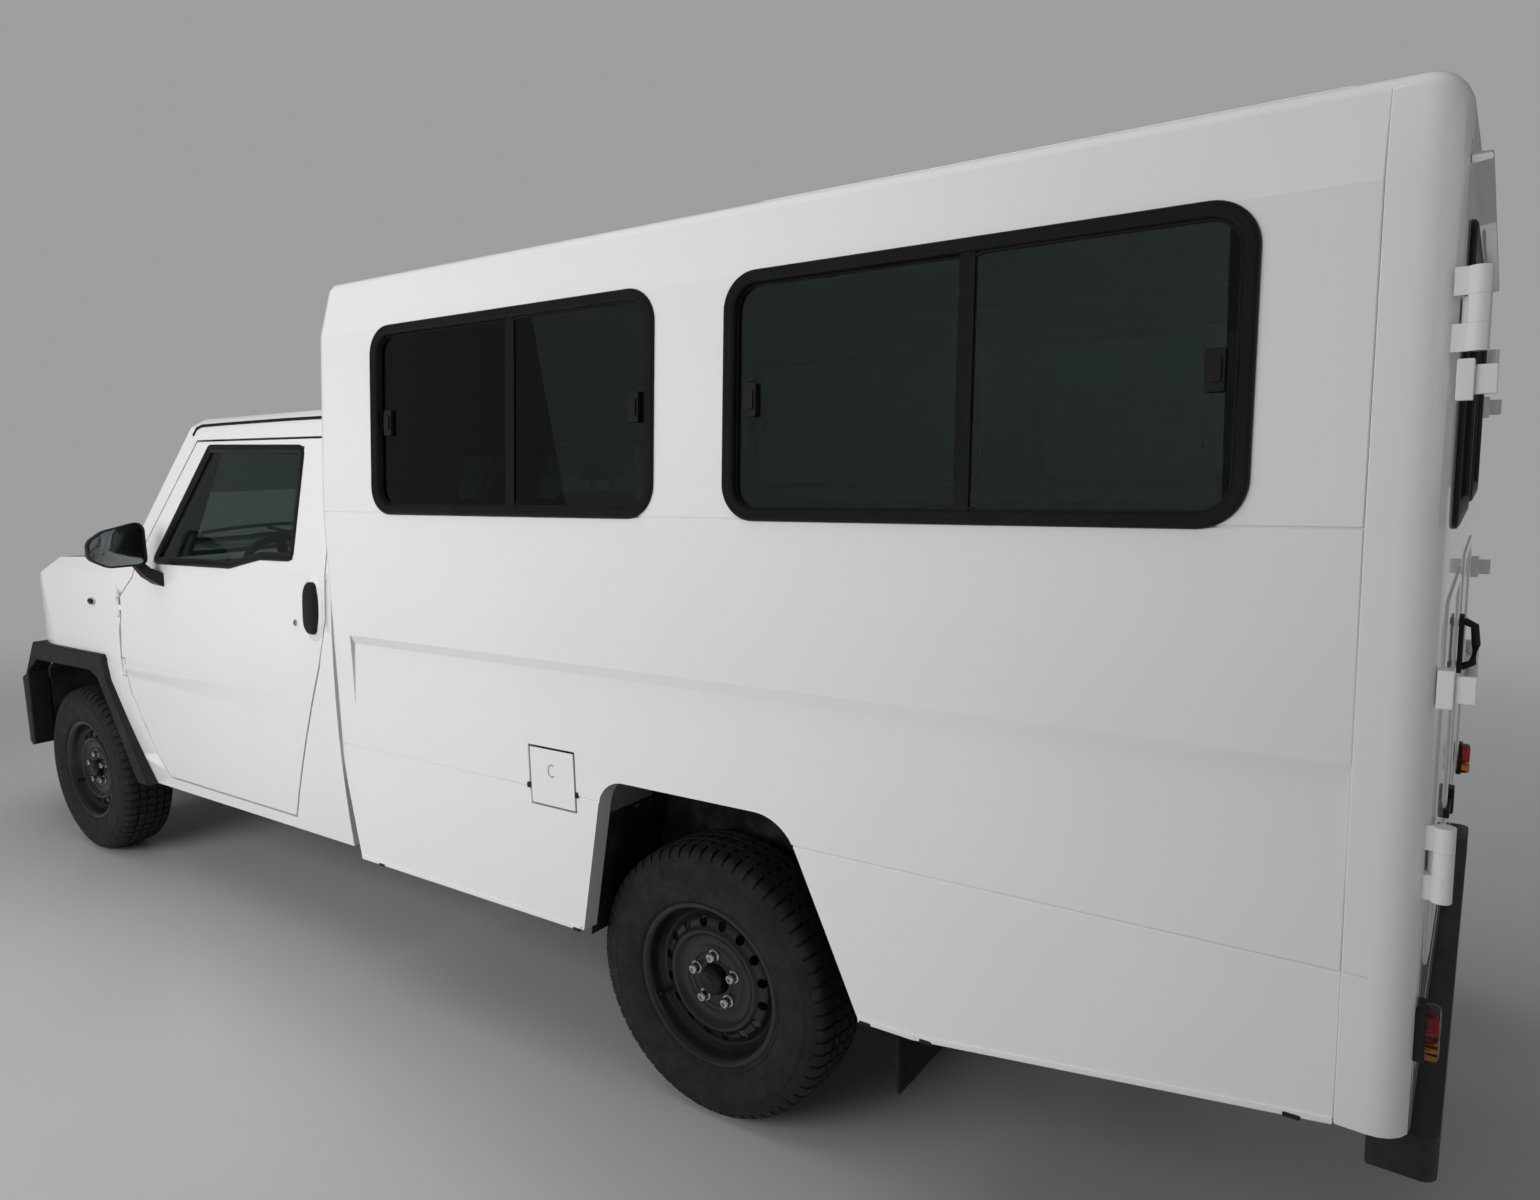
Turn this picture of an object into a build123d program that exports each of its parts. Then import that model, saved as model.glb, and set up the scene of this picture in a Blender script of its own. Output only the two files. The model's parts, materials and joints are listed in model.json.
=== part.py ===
from build123d import *
import math
import os

# Utility van: pickup cab with a tall windowed box body behind it.
# Frame: +X is the left side of the van, +Y its rear, +Z up, millimetres.
# Everything is drawn with the body level and then tipped about the rear axle by the parked rake.

# Driving sizes
wheel_base = 3085.0
rear_axle_y = 1237.0
rake_deg = 0.877
centre_shift = 9.329
tyre_radius = 328.0
tyre_width = 190.0
rim_radius = 196.0
rim_width = 162.0
front_track = 1515.0
rear_track = 1450.0
king_pin_x = 680.0
cab_rear_y = -82.0
cab_gap = 42.0
cab_wall = 58.0
box_length = 2665.0
box_half_width = 885.0
box_wall = 45.0
box_sill_z = 415.0
belt_z = 1416.0
crease_in = 35.0
crease_z = 1895.0
roof_edge_z = 2044.0
roof_crown = 26.0
floor_top_z = 690.0
floor_thick = 40.0
rear_frame_depth = 98.0
rail_x = 375.0
rail_wide = 70.0
rail_low_z = 440.0
rail_high_z = 560.0
panel_gap = 5.0
run_gap = 0.05
skin = 30.0
front_round = 30.0
rear_round = 55.0
front_kick_z = 790.0
front_kick_run = 70.0
swage_top_z = 1073.0
swage_z = 1046.0
swage_low_z = 860.0
swage_deep = 12.0
swage_start = 100.0
aisle_half = 440.0
aisle_thick = 6.0

rake = math.radians(rake_deg)
front_axle_y = rear_axle_y - wheel_base * math.cos(rake)
front_hub_z = tyre_radius + wheel_base * math.sin(rake)
box_front_y = cab_rear_y + cab_gap
box_rear_y = box_front_y + box_length
roof_top_z = roof_edge_z + roof_crown
rear_seam_y = box_rear_y - rear_frame_depth
crease_x = box_half_width - crease_in
roof_half = crease_x - 90.0
clear_x = box_half_width + 15.0


# Small makers
def block(x0, x1, y0, y1, z0, z1):
    return Pos((x0 + x1) / 2, (y0 + y1) / 2, (z0 + z1) / 2) * Box(abs(x1 - x0), abs(y1 - y0), abs(z1 - z0))


def rod(start, end, radius):
    a = Vector(*start)
    b = Vector(*end)
    return Plane(origin=a, z_dir=b - a) * extrude(Circle(radius), (b - a).length)


def side_prism(points, x0, x1, rounds=None):
    # a (y, z) outline drawn on the side view and pushed from x0 to x1
    wire = Polyline(*[(y, z) for y, z in points], close=True)
    face = make_face(wire)
    for corner, radius in (rounds or {}).items():
        y, z = points[corner]
        near = face.vertices().sort_by_distance((y, z, 0))[0]
        face = fillet(near, radius)
    plane = Plane(origin=(min(x0, x1), 0, 0), x_dir=(0, 1, 0), z_dir=(1, 0, 0))
    return plane * extrude(face, abs(x1 - x0))


def mirrored(shape):
    return mirror(shape, Plane.YZ)


def both(shape):
    return shape + mirrored(shape)


def inset(points, gap):
    face = make_face(Polyline(*points, close=True))
    smaller = offset(face, -gap, kind=Kind.INTERSECTION)
    return smaller


def side_prism_of(face, x0, x1):
    plane = Plane(origin=(min(x0, x1), 0, 0), x_dir=(0, 1, 0), z_dir=(1, 0, 0))
    return plane * extrude(face, abs(x1 - x0))


def hinge(x, y, z, pin_r, barrel_r, tall, reach_fixed, reach_moving, plate, direction="Z"):
    # three knuckles on one pin: the outer two with the pin are fixed, the middle one moves
    third = tall / 3
    pin = Cylinder(pin_r, tall)
    ends = Pos(0, 0, third) * Cylinder(barrel_r, third) + Pos(0, 0, -third) * Cylinder(barrel_r, third)
    fx, fy = reach_fixed
    mx, my = reach_moving
    web_a = plate_to(fx, fy, plate, third)
    fixed = ends + Pos(0, 0, third) * web_a + Pos(0, 0, -third) * web_a + pin
    slack = 0.4
    middle = Cylinder(barrel_r, third - slack) + plate_to(mx, my, plate, third - slack)
    middle = middle - Cylinder(pin_r + run_gap, tall)
    place = Pos(x, y, z)
    if direction == "X":
        place = place * Rot(0, 90, 0)
    if direction == "Y":
        place = place * Rot(-90, 0, 0)
    return place * fixed, place * middle


def plate_to(dx, dy, thick, tall):
    length = math.hypot(dx, dy)
    angle = math.degrees(math.atan2(dy, dx))
    return Rot(0, 0, angle) * Pos(length / 2, 0, 0) * Box(length, thick, tall)


# Box body section, seen from behind: upright to the belt, leaning in past the windows, rounded into the roof
def box_face(cut, low):
    half = box_half_width - cut
    edge_x, edge_z = box_half_width - 73 - cut, roof_edge_z - 24 - cut * 0.6
    bend_x, bend_z = box_half_width - 86 - cut, roof_edge_z - 7 - cut * 0.85
    roof_x, roof_z = box_half_width - 113 - cut, roof_edge_z - cut
    right = [
        Line((half, low), (half, belt_z)),
        Line((half, belt_z), (crease_x - cut, crease_z)),
        Line((crease_x - cut, crease_z), (edge_x, edge_z)),
        ThreePointArc((edge_x, edge_z), (bend_x, bend_z), (roof_x, roof_z)),
    ]
    crown = ThreePointArc((roof_x, roof_z), (0, roof_top_z - cut), (-roof_x, roof_z))
    left = [
        ThreePointArc((-roof_x, roof_z), (-bend_x, bend_z), (-edge_x, edge_z)),
        Line((-edge_x, edge_z), (-(crease_x - cut), crease_z)),
        Line((-(crease_x - cut), crease_z), (-half, belt_z)),
        Line((-half, belt_z), (-half, low)),
    ]
    return make_face(Curve() + right + [crown] + left + [Line((-half, low), (half, low))])


def section_plane(y):
    return Plane(origin=(0, y, 0), x_dir=(1, 0, 0), z_dir=(0, -1, 0))


def rounded_end(y_end, toward, radius, steps):
    # the last stretch of the box, drawn in by a quarter round all the way about its section
    sections = []
    for k in range(steps + 1):
        turn = math.radians(90 * k / steps)
        y = y_end - toward * radius * (1 - math.sin(turn))
        sections.append(section_plane(y) * box_face(radius * (1 - math.cos(turn)), box_sill_z))
    return loft(sections, ruled=True)


def box_outer():
    body = along_y(box_face(0, box_sill_z), box_front_y + front_round, box_rear_y - rear_round)
    body = body + rounded_end(box_front_y, -1, front_round, 4) + rounded_end(box_rear_y, 1, rear_round, 5)
    # the lower front edge slants back under the cab's corner
    kick = side_prism([(box_front_y - 10, 300), (box_front_y - 10, front_kick_z), (box_front_y, front_kick_z),
                       (box_front_y + front_kick_run, box_sill_z), (box_front_y + front_kick_run, 300)],
                      -clear_x, clear_x)
    return body - kick


def lean(shape, sign):
    # stands a window piece made upright at the belt into the leaning upper wall
    angle = math.degrees(math.atan2(box_half_width - crease_x, crease_z - belt_z))
    x = sign * box_half_width
    return Pos(x, 0, belt_z) * Rot(0, -sign * angle, 0) * Pos(-x, 0, -belt_z) * shape


def along_y(face, y0, y1):
    return section_plane(y0) * extrude(face, -(y1 - y0))


def swage(sign):
    # the pressed step along the side: a shelf with the panel below it set in, back flush lower down
    half = box_half_width
    face = make_face(Polyline((half, swage_low_z), (half - swage_deep, swage_z), (half, swage_top_z),
                              (half + 20, swage_top_z), (half + 20, swage_low_z), close=True))
    cut = along_y(face, box_front_y + swage_start, rear_seam_y)
    return cut if sign > 0 else mirrored(cut)


# Rear wheel arch outline, measured from the rear axle: (along, up)
arch_rear = [(-318, 380), (-228, 806), (279, 806), (466, 380)]
arch_rear_rounds = {1: 80, 2: 110}

# Side windows: gaps to the box front and rear seam, the pillar between; (front, rear) run from the box front
window_front_gap = 253.0
window_rear_gap = 152.0
window_pillar = 185.0
window_long = (rear_seam_y - window_rear_gap - box_front_y - window_front_gap - window_pillar) / 2
side_windows = [(window_front_gap, window_front_gap + window_long),
                (window_front_gap + window_long + window_pillar, window_front_gap + 2 * window_long + window_pillar)]
window_low_z = 1411.0
window_high_z = 1902.0
window_round = 75.0
frame_wide = 30.0


def window_face(y0, y1, shrink=0.0):
    return Pos((y0 + y1) / 2, (window_low_z + window_high_z) / 2) * RectangleRounded(
        y1 - y0 - 2 * shrink, window_high_z - window_low_z - 2 * shrink, window_round - shrink)


def arch_at(axle_y, outline, rounds, x0, x1, grow=0.0):
    points = [(axle_y + a, b) for a, b in outline]
    face = make_face(Polyline(*points, close=True))
    for corner, radius in rounds.items():
        y, z = points[corner]
        near = face.vertices().sort_by_distance((y, z, 0))[0]
        face = fillet(near, radius)
    if grow:
        face = offset(face, grow, kind=Kind.ARC)
    return side_prism_of(face, x0, x1)


def kick_up(x0, x1):
    # what is cut from under the body behind the rear wheel
    start = rear_axle_y + kick_start
    return side_prism([(start, box_sill_z - 60), (start, box_sill_z), (rear_seam_y, box_sill_z + kick_rise),
                       (box_rear_y + 10, box_sill_z + kick_rise - 5), (box_rear_y + 10, box_sill_z - 60)], x0, x1)


kick_start = 578.0
kick_rise = 90.0


def make_box():
    outer = box_outer()
    inner = along_y(box_face(box_wall, box_sill_z - 100), box_front_y - 10, box_rear_y + 10)
    shell = outer - inner
    for sign in (1, -1):
        shell = shell - arch_at(rear_axle_y, arch_rear, arch_rear_rounds, sign * roof_half, sign * clear_x)
    shell = shell - kick_up(-clear_x, clear_x)
    sides = {}
    for name, sign in (("left", 1), ("right", -1)):
        side = shell & block(sign * roof_half, sign * clear_x, box_front_y, rear_seam_y, 300, roof_top_z + 10)
        for y0, y1 in side_windows:
            cut = window_face(box_front_y + y0, box_front_y + y1)
            side = side - lean(side_prism_of(cut, sign * (crease_x - 60), sign * (clear_x + 20)), sign)
        sides[name] = side - swage(sign)
    roof = shell & block(-roof_half, roof_half, box_front_y, rear_seam_y, crease_z, roof_top_z + 10)
    front = along_y(box_face(box_wall, floor_top_z - floor_thick), box_front_y, box_front_y + box_wall)
    front = front - block(-430, 430, box_front_y - 5, box_front_y + box_wall + 5, 1330, 1600)
    rear = outer & block(-clear_x, clear_x, rear_seam_y, box_rear_y, 300, roof_top_z + 10)
    rear = rear - kick_up(-clear_x, clear_x)
    rear = rear - block(-door_half, door_half, rear_seam_y - 5, box_rear_y + 5, door_low_z, door_high_z)
    return sides, roof, front, rear


# Rear doors
door_half = box_half_width - 95.0
door_low_z = 580.0
door_high_z = 1945.0
door_thick = 45.0
rear_hinge_x = box_half_width - 39.0
rear_hinge_out = 20.0
rear_hinges = [1711.0, 931.0]
rear_window = (130.0, door_half - 100.0, 1410.0, 1850.0)


def rear_door():
    x0 = panel_gap / 2
    x1 = door_half - panel_gap
    slab = block(x0, x1, box_rear_y - door_thick, box_rear_y, door_low_z + panel_gap, door_high_z - panel_gap)
    wx0, wx1, wz0, wz1 = rear_window
    hole = block(wx0, wx1, box_rear_y - 60, box_rear_y + 10, wz0, wz1)
    glass = block(wx0, wx1, box_rear_y - 26, box_rear_y - 20, wz0, wz1)
    door = slab - hole
    fixed = None
    for z in rear_hinges:
        a, b = hinge(rear_hinge_x, box_rear_y + rear_hinge_out, z, 6, 14, 112, (0, -rear_hinge_out - 10), (-150, 0), 6)
        strap = block(x1 - 110, rear_hinge_x - 10, box_rear_y, box_rear_y + 6, z - 18, z + 18)
        lift = block(rear_hinge_x - 30, rear_hinge_x - 8, box_rear_y + 0.3, box_rear_y + rear_hinge_out + 3,
                     z - 18, z + 18)
        barrel = Pos(rear_hinge_x, box_rear_y + rear_hinge_out, z) * (
            Cylinder(14, 36.9) - Cylinder(6 + run_gap, 200))
        keep = lift - Pos(rear_hinge_x, box_rear_y + rear_hinge_out, z) * Cylinder(6 + run_gap, 200)
        strap = strap - block(door_half - 2, rear_hinge_x + 50, box_rear_y - 1, box_rear_y + 0.3, z - 30, z + 30)
        door = door + strap + keep + barrel
        fixed = a if fixed is None else fixed + a
    return door, glass, fixed


# Load floor, and the wheel boxes that stand through it
def load_floor():
    half = box_half_width - box_wall
    y0 = box_front_y + box_wall
    floor = block(-half, half, y0, rear_seam_y, floor_top_z - floor_thick, floor_top_z)
    floor = floor + block(-aisle_half, aisle_half, y0 + 20, rear_seam_y, floor_top_z - 5, floor_top_z + aisle_thick)
    for sign in (1, -1):
        floor = floor - arch_at(rear_axle_y, arch_rear, arch_rear_rounds, sign * house_x(), sign * (half + 5), 32)
    return floor


def house_x():
    return box_half_width - 295


def wheel_boxes():
    half = box_half_width - box_wall
    inner = house_x()
    house = arch_at(rear_axle_y, arch_rear, arch_rear_rounds, inner, half, 32)
    hollow = arch_at(rear_axle_y, arch_rear, arch_rear_rounds, inner + 10, half + 5, 20)
    hollow = hollow + block(inner - 90, clear_x, rear_axle_y - 600, rear_axle_y + 700, 300, box_sill_z + 30)
    return both(house - hollow)


# Cab section, seen from behind: side bulge, leaning glass side and roof crown
def cab_face(cut):
    base_x = 836.0 - cut
    bulge_x = 857.0 - cut
    waist_x = 840.0 - cut
    edge_x = 744.0 - cut * 0.9
    edge_z = 1684.0 - cut * 0.35
    roof_x = 700.0 - cut
    roof_z = 1712.0 - cut * 0.5
    crown_z = 1742.0 - cut * 0.5
    waist_z = 1235.0
    parts = [
        Line((base_x, 200), (base_x, cab_sill_z)),
        ThreePointArc((base_x, cab_sill_z), (bulge_x, 830), (waist_x, waist_z)),
        Line((waist_x, waist_z), (edge_x, edge_z)),
        Line((edge_x, edge_z), (roof_x, roof_z)),
        ThreePointArc((roof_x, roof_z), (0, crown_z), (-roof_x, roof_z)),
        Line((-roof_x, roof_z), (-edge_x, edge_z)),
        Line((-edge_x, edge_z), (-waist_x, waist_z)),
        ThreePointArc((-waist_x, waist_z), (-bulge_x, 830), (-base_x, cab_sill_z)),
        Line((-base_x, cab_sill_z), (-base_x, 200)),
        Line((-base_x, 200), (base_x, 200)),
    ]
    return make_face(Curve() + parts)


cab_sill_z = 410.0
cab_floor_z = 600.0
cowl_y = -1440.0
screen_low = (-1337.0, 1226.0)
screen_high = (-937.0, 1742.0)
header_round = 110.0
rear_roof_round = 45.0
crown_clear = 1.5


def cab_side_view(cut):
    # the windscreen plane bounds the front, the rear wall the back
    lean = (screen_high[1] - screen_low[1]) / (screen_high[0] - screen_low[0])
    shift = cut * math.hypot(1, lean) / lean
    sy, sz = screen_low
    ty, tz = screen_high
    front = cowl_y + cut
    top = tz - cut * 0.5 + crown_clear
    return [(cab_rear_y - cut * 0.7, 200), (cab_rear_y - cut * 0.7, top), (ty + shift - cut * 0.5 / lean, top),
            (sy + shift, sz), (front, sz + 8), (front, 200)]


def cab_solid(cut, low):
    body = along_y(cab_face(cut), cowl_y - 20, cab_rear_y + 20)
    rounds = {1: rear_roof_round - cut * 0.5, 2: header_round - cut}
    return body & side_prism(cab_side_view(cut), -900, 900, rounds) & block(-900, 900, -2000, 200, low, 1800)


def cab_long(cut):
    # the section alone, past both ends: what is outside it is side wall and roof, with no end walls
    return along_y(cab_face(cut), cowl_y - 30, cab_rear_y + 30)


cab_door_outline = [(-1300, 1170), (-1398, 1100), (-1420, 880), (-1370, 730), (-1254, 535), (-1179, 447), (-375, 447),
            (-150, 960), (-108, 1095), (-105, 1210), (-125, 1630), (-932, 1640), (-1252, 1240)]
cab_window = [(-1140, 1228), (-636, 1231), (-463, 1264), (-285, 1266), (-287, 1603), (-846, 1618)]
door_gap = 6.0
door_hinge_y = -1409.0
door_hinge_x = 853.0
door_hinges = [1055.0, 835.0]
pocket_half = 16.0
pocket_tall = 74.0

# Front wheel opening, measured from the front axle: (along, up)
arch_front = [(-403, 380), (-383, 742), (-288, 800), (192, 803), (252, 778), (508, 380)]


def front_house(x0, x1):
    return side_prism([(front_axle_y + a, b) for a, b in arch_front], x0, x1)


def make_cab():
    outer = cab_solid(0, cab_sill_z)
    hollow = cab_solid(cab_wall, cab_floor_z)
    shell = outer - hollow
    shell = shell - block(-740, 740, cowl_y - 50, cab_rear_y + 50, 300, cab_floor_z - skin)
    for sign in (1, -1):
        shell = shell - front_house(sign * 455, sign * 900)
    wall = outer - cab_long(cab_wall)
    cleared = outer - cab_long(cab_wall + door_gap)
    cut = cleared & side_prism(cab_door_outline, 400, 900)
    door = wall & side_prism_of(inset(cab_door_outline, door_gap), 400, 900)
    door = door - side_prism(cab_window, 400, 900)
    shell = shell - both(cut)
    # windscreen and rear window openings
    sy, sz = screen_low
    ty, tz = screen_high
    angle = math.degrees(math.atan2(tz - sz, ty - sy))
    mid = Pos(0, (sy + ty) / 2, (sz + tz) / 2 - 10) * Rot(angle, 0, 0)
    shell = shell - mid * Box(1290, 500, 240)
    shell = shell - block(-560, 560, cab_rear_y - 80, cab_rear_y + 20, 1290, 1590)
    screen = (mid * Box(1290, 500, 240)) & (cab_solid(12, 300) - cab_solid(18, 290))
    screen = screen & block(-900, 900, cowl_y, -900, 1200, 1760)
    rear_glass = block(-560, 560, cab_rear_y - 24, cab_rear_y - 18, 1290, 1590)
    return shell, door, screen, rear_glass


def door_glass(sign):
    return (cab_solid(20, 300) - cab_solid(26, 290)) & side_prism(cab_window, 0, sign * 900)


def add_door_hinges(shell, door):
    # the moving web stands in the pocket of the door, the fixed ones in the pocket of the cab
    for z in door_hinges:
        pocket = Pos(door_hinge_x, door_hinge_y, z) * Box(2 * pocket_half, 2 * pocket_half, pocket_tall)
        fixed, moving = hinge(door_hinge_x, door_hinge_y, z, 3, 6, 60, (-7, -21), (-7, 27), 7)
        shell = shell - both(pocket) + both(fixed)
        door = door - pocket + moving
    return shell, door


# Nose: wings and bonnet
nose_front_y = -2505.0
nose_side_view = [(-1880, 1222), (-2180, 1114), (-2440, 1020), (-2500, 975), (-2515, 700), (-2480, 430)]


def nose_solid(drop=0.0):
    half = 857.0
    round_r = 550.0
    cy = nose_front_y + round_r
    k = round_r * math.sqrt(0.5)
    cx = half - round_r
    plan = make_face(Curve() + [
        Line((half, cowl_y), (half, cy)),
        ThreePointArc((half, cy), (cx + k, cy - k), (cx, nose_front_y)),
        Line((cx, nose_front_y), (-cx, nose_front_y)),
        ThreePointArc((-cx, nose_front_y), (-cx - k, cy - k), (-half, cy)),
        Line((-half, cy), (-half, cowl_y)),
        Line((-half, cowl_y), (half, cowl_y)),
    ])
    body = Pos(0, 0, 380) * extrude(plan, 900)
    top = [(cowl_y, 1234 - drop)] + [(y, z - drop) for y, z in nose_side_view] + [(cowl_y, 430)]
    body = body & side_prism(top, -900, 900)
    return body & along_y(cab_face(0), nose_front_y - 60, cowl_y)


bonnet_half = 650.0
bonnet_front_y = -2440.0
bonnet_gap = 16.0
bay_half = 440.0
bay_front_y = -2400.0


def make_nose():
    outer = nose_solid()
    lid_zone = block(-bonnet_half, bonnet_half, bonnet_front_y, cowl_y + 5, 900, 1300)
    lid = (outer - nose_solid(skin)) & lid_zone
    wings = outer - lid
    wings = wings - (block(-bay_half, bay_half, bay_front_y, cowl_y + 1, 300, 1300) & nose_solid(skin - 1))
    wings = wings - block(-bay_half, bay_half, bay_front_y, cowl_y + 1, 300, 800)
    wings = wings - (block(-600, 600, bay_front_y + 20, cowl_y + 1, 860, 1300) & nose_solid(skin - 1))
    for sign in (1, -1):
        wings = wings - front_house(sign * (bay_half + 15), sign * 900)
    bonnet_face = inset([(bonnet_half, bonnet_front_y), (bonnet_half, cowl_y), (-bonnet_half, cowl_y),
                         (-bonnet_half, bonnet_front_y)], panel_gap)
    bonnet = lid & (Pos(0, 0, 900) * extrude(bonnet_face, 400))
    bonnet = bonnet - block(-900, 900, cowl_y - bonnet_gap, cowl_y + 20, 900, 1300)
    return wings, bonnet


# Wheels: outlines turned about the axle, (outward, radius)
def turned(points, x_sign, hub):
    wire = Polyline(*[(a, b) for a, b in points], close=True)
    body = revolve(make_face(wire), Axis.X)
    if x_sign < 0:
        body = mirror(body, Plane.YZ)
    return Pos(*hub) * body


rim_table = [
    # across, radius: barrel outside, then its inside and the disc back to the barrel
    (-81, 181), (-81, 196), (-72, 196), (-72, 180), (-45, 177), (-20, 165), (20, 165), (45, 177), (72, 180),
    (72, 196), (81, 196), (81, 181), (60, 172), (45, 169), (34, 163), (40, 153), (50, 128), (54, 104),
    (50, 84), (46, 76), (46, 32), (74, 32), (74, 0), (66, 0), (66, 25.05), (-12, 25.05), (-12, 32), (38, 32),
    (38, 76), (42, 86), (46, 104), (42, 126), (32, 152), (26, 157), (-20, 157), (-45, 169), (-72, 172),
]
tyre_table = [
    (-72, 196), (-88, 214), (-95, 262), (-88, 300), (-72, 320), (-50, 328), (50, 328), (72, 320), (88, 300),
    (95, 262), (88, 214), (72, 196), (72, 180), (45, 177), (-45, 177), (-72, 180),
]
vent_ring = 139.0
vent_count = 16
spindle_r = 25.0


def wheel_hub_point(front, sign):
    half = (front_track if front else rear_track) / 2
    if front:
        return (sign * half, front_axle_y, front_hub_z)
    return (sign * half, rear_axle_y, tyre_radius)


def make_wheel(front, sign):
    hub = wheel_hub_point(front, sign)
    grow = tyre_radius / 328.0
    rim = turned(rim_table, sign, hub)
    vents = []
    for i in range(vent_count):
        a = 2 * math.pi * (i + 0.5) / vent_count
        y = hub[1] + vent_ring * math.cos(a)
        z = hub[2] + vent_ring * math.sin(a)
        vents.append(rod((hub[0] - 10, y, z), (hub[0] + 90, y, z), 9))
    rim = rim - vents
    tyre = turned([(a, b if b < 200 else b * grow) for a, b in tyre_table], sign, hub)
    return rim, tyre


# Running gear
def rear_axle():
    half = rear_track / 2
    y, z = rear_axle_y, tyre_radius
    tube = rod((-half + 60, y, z), (half - 60, y, z), axle_tube_r)
    ball = fillet((Rot(0, 90, 0) * Cylinder(135, 150)).edges().filter_by(GeomType.CIRCLE), 45)
    nose = rod((0, y - 220, z), (0, y, z), 55)
    shaft = rod((0, gearbox_rear_y - 60, shaft_z), (0, y - 200, z), 38)
    shaft = shaft - block(-60, 60, gearbox_rear_y - 120, gearbox_rear_y, 300, 600)
    axle = tube + Pos(0, y, z) * ball + nose + shaft
    for sign in (1, -1):
        inner = sign * (half - 75)
        axle = axle + rod((inner, y, z), (sign * (half - 22), y, z), 135)
        axle = axle + rod((inner, y, z), (sign * (half + 60), y, z), spindle_r)
        axle = axle + (block(sign * (spring_x - 40), sign * (spring_x + 40), y - 60, y + 60, z, z + 46)
                       - rod((sign * 300, y, z), (sign * 700, y, z), axle_tube_r - 1))
    return axle


axle_tube_r = 38.0
gearbox_rear_y = -950.0
shaft_z = 440.0
spring_x = 500.0
spring_half = 620.0
saddle = 46.0


def rear_springs():
    out = None
    base = tyre_radius + saddle
    y0 = rear_axle_y
    for sign in (1, -1):
        x = sign * spring_x
        leaf = side_prism([(y0 - spring_half, base + 40), (y0 - 90, base), (y0 + 90, base),
                           (y0 + spring_half, base + 40),
                           (y0 + spring_half, base + 54), (y0 + 90, base + 34), (y0 - 90, base + 34),
                           (y0 - spring_half, base + 54)], x - 30, x + 30)
        for along in (-spring_half + 15, spring_half - 15):
            y = y0 + along
            leaf = leaf + block(x - 30, x + 30, y - 15, y + 15, base + 44, base + 110)
            leaf = leaf + block(x, sign * (rail_x + rail_wide / 2), y - 15, y + 15, base + 80, base + 110)
        out = leaf if out is None else out + leaf
    return out


def frame_rails():
    half = rail_wide / 2
    return both(block(rail_x - half, rail_x + half, bay_front_y, rear_seam_y, rail_low_z, rail_high_z))


def cross_members():
    # beams between the rails, the outriggers that carry the floors, and the nose mounts
    inner = rail_x - rail_wide / 2
    wide = box_half_width - box_wall - 20
    out = None
    for y in (-2360, -880, 120, 700, 1700, spare_y, rear_seam_y - 30):
        beam = block(-inner, inner, y - 30, y + 30, rail_low_z + 60, rail_high_z - 20)
        out = beam if out is None else out + beam
    for y in (150, 800, 1800, box_rear_y - 160):
        out = out + block(-wide, wide, y - 30, y + 30, rail_high_z, floor_top_z - floor_thick)
    for y in (-1250, -160):
        out = out + block(-640, 640, y - 30, y + 30, rail_high_z, cab_floor_z - skin)
    for sign in (1, -1):
        out = out + block(sign * (rail_x + rail_wide / 2), sign * bay_half, -2390, -2330, rail_low_z + 20,
                          rail_high_z - 20)
    return out


king_half = 118.0
king_pin_r = 14.0


def front_arms():
    out = None
    y = front_axle_y
    z = front_hub_z
    inner = rail_x + rail_wide / 2
    for sign in (1, -1):
        part = block(sign * (inner - 40), sign * (inner + 16), y - 130, y + 130, z - king_half - 20, rail_low_z)
        part = part + block(sign * inner, sign * (inner + 16), y - 130, y + 130, rail_low_z - 5, z + king_half + 16)
        for level in (-king_half, king_half):
            x = sign * king_pin_x
            for along in (-110, 110):
                part = part + side_bar((sign * inner, y + along, z + level), (x, y, z + level), 24)
            part = part + Pos(x, y, z + level) * Cylinder(26, 28)
            part = part - Pos(x, y, z + level) * Cylinder(king_pin_r + run_gap, 60)
        part = part - block(sign * (inner - 60), sign * inner, y - 200, y + 200, rail_low_z, rail_high_z)
        out = part if out is None else out + part
    return out


def side_bar(a, b, size):
    start = Vector(*a)
    end = Vector(*b)
    plane = Plane(origin=start, x_dir=(0, 0, 1), z_dir=end - start)
    return plane * extrude(Rectangle(size, size), (end - start).length)


def knuckle(sign):
    x, y, z = sign * king_pin_x, front_axle_y, front_hub_z
    pin = rod((x, y, z - king_half - 20), (x, y, z + king_half + 20), king_pin_r)
    upright = block(x - 24, x + 24, y - 24, y + 24, z - king_half + 15, z + king_half - 15)
    half = front_track / 2
    stub = rod((x, y, z), (sign * (half - 22), y, z), 60)
    spindle = rod((x, y, z), (sign * (half + 60), y, z), spindle_r)
    lever = block(x - 40 * sign, x, y - 24, y + 130, z - 12, z + 12)
    return pin + upright + stub + spindle + lever


engine_rear_y = -1560.0


def powertrain():
    engine = block(-250, 250, -2180, engine_rear_y, 420, 1010)
    return engine + block(-150, 150, engine_rear_y, gearbox_rear_y, 390, 538)


spare_y = 2005.0
spare_z = 330.0


def spare_wheel():
    rim = revolve(make_face(Polyline(*[(a, b) for a, b in rim_table], close=True)), Axis.X)
    tyre = revolve(make_face(Polyline(*[(a, b) for a, b in tyre_table], close=True)), Axis.X)
    hook = rod((0, spare_y, spare_z + 70), (0, spare_y, rail_low_z + 60), 10)
    return Pos(0, spare_y, spare_z) * Rot(0, -90, 0) * (rim + tyre) + hook


def fuel_tank():
    return block(rail_x + rail_wide / 2, 770, 90, 585, 350, rail_high_z - 10)


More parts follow.
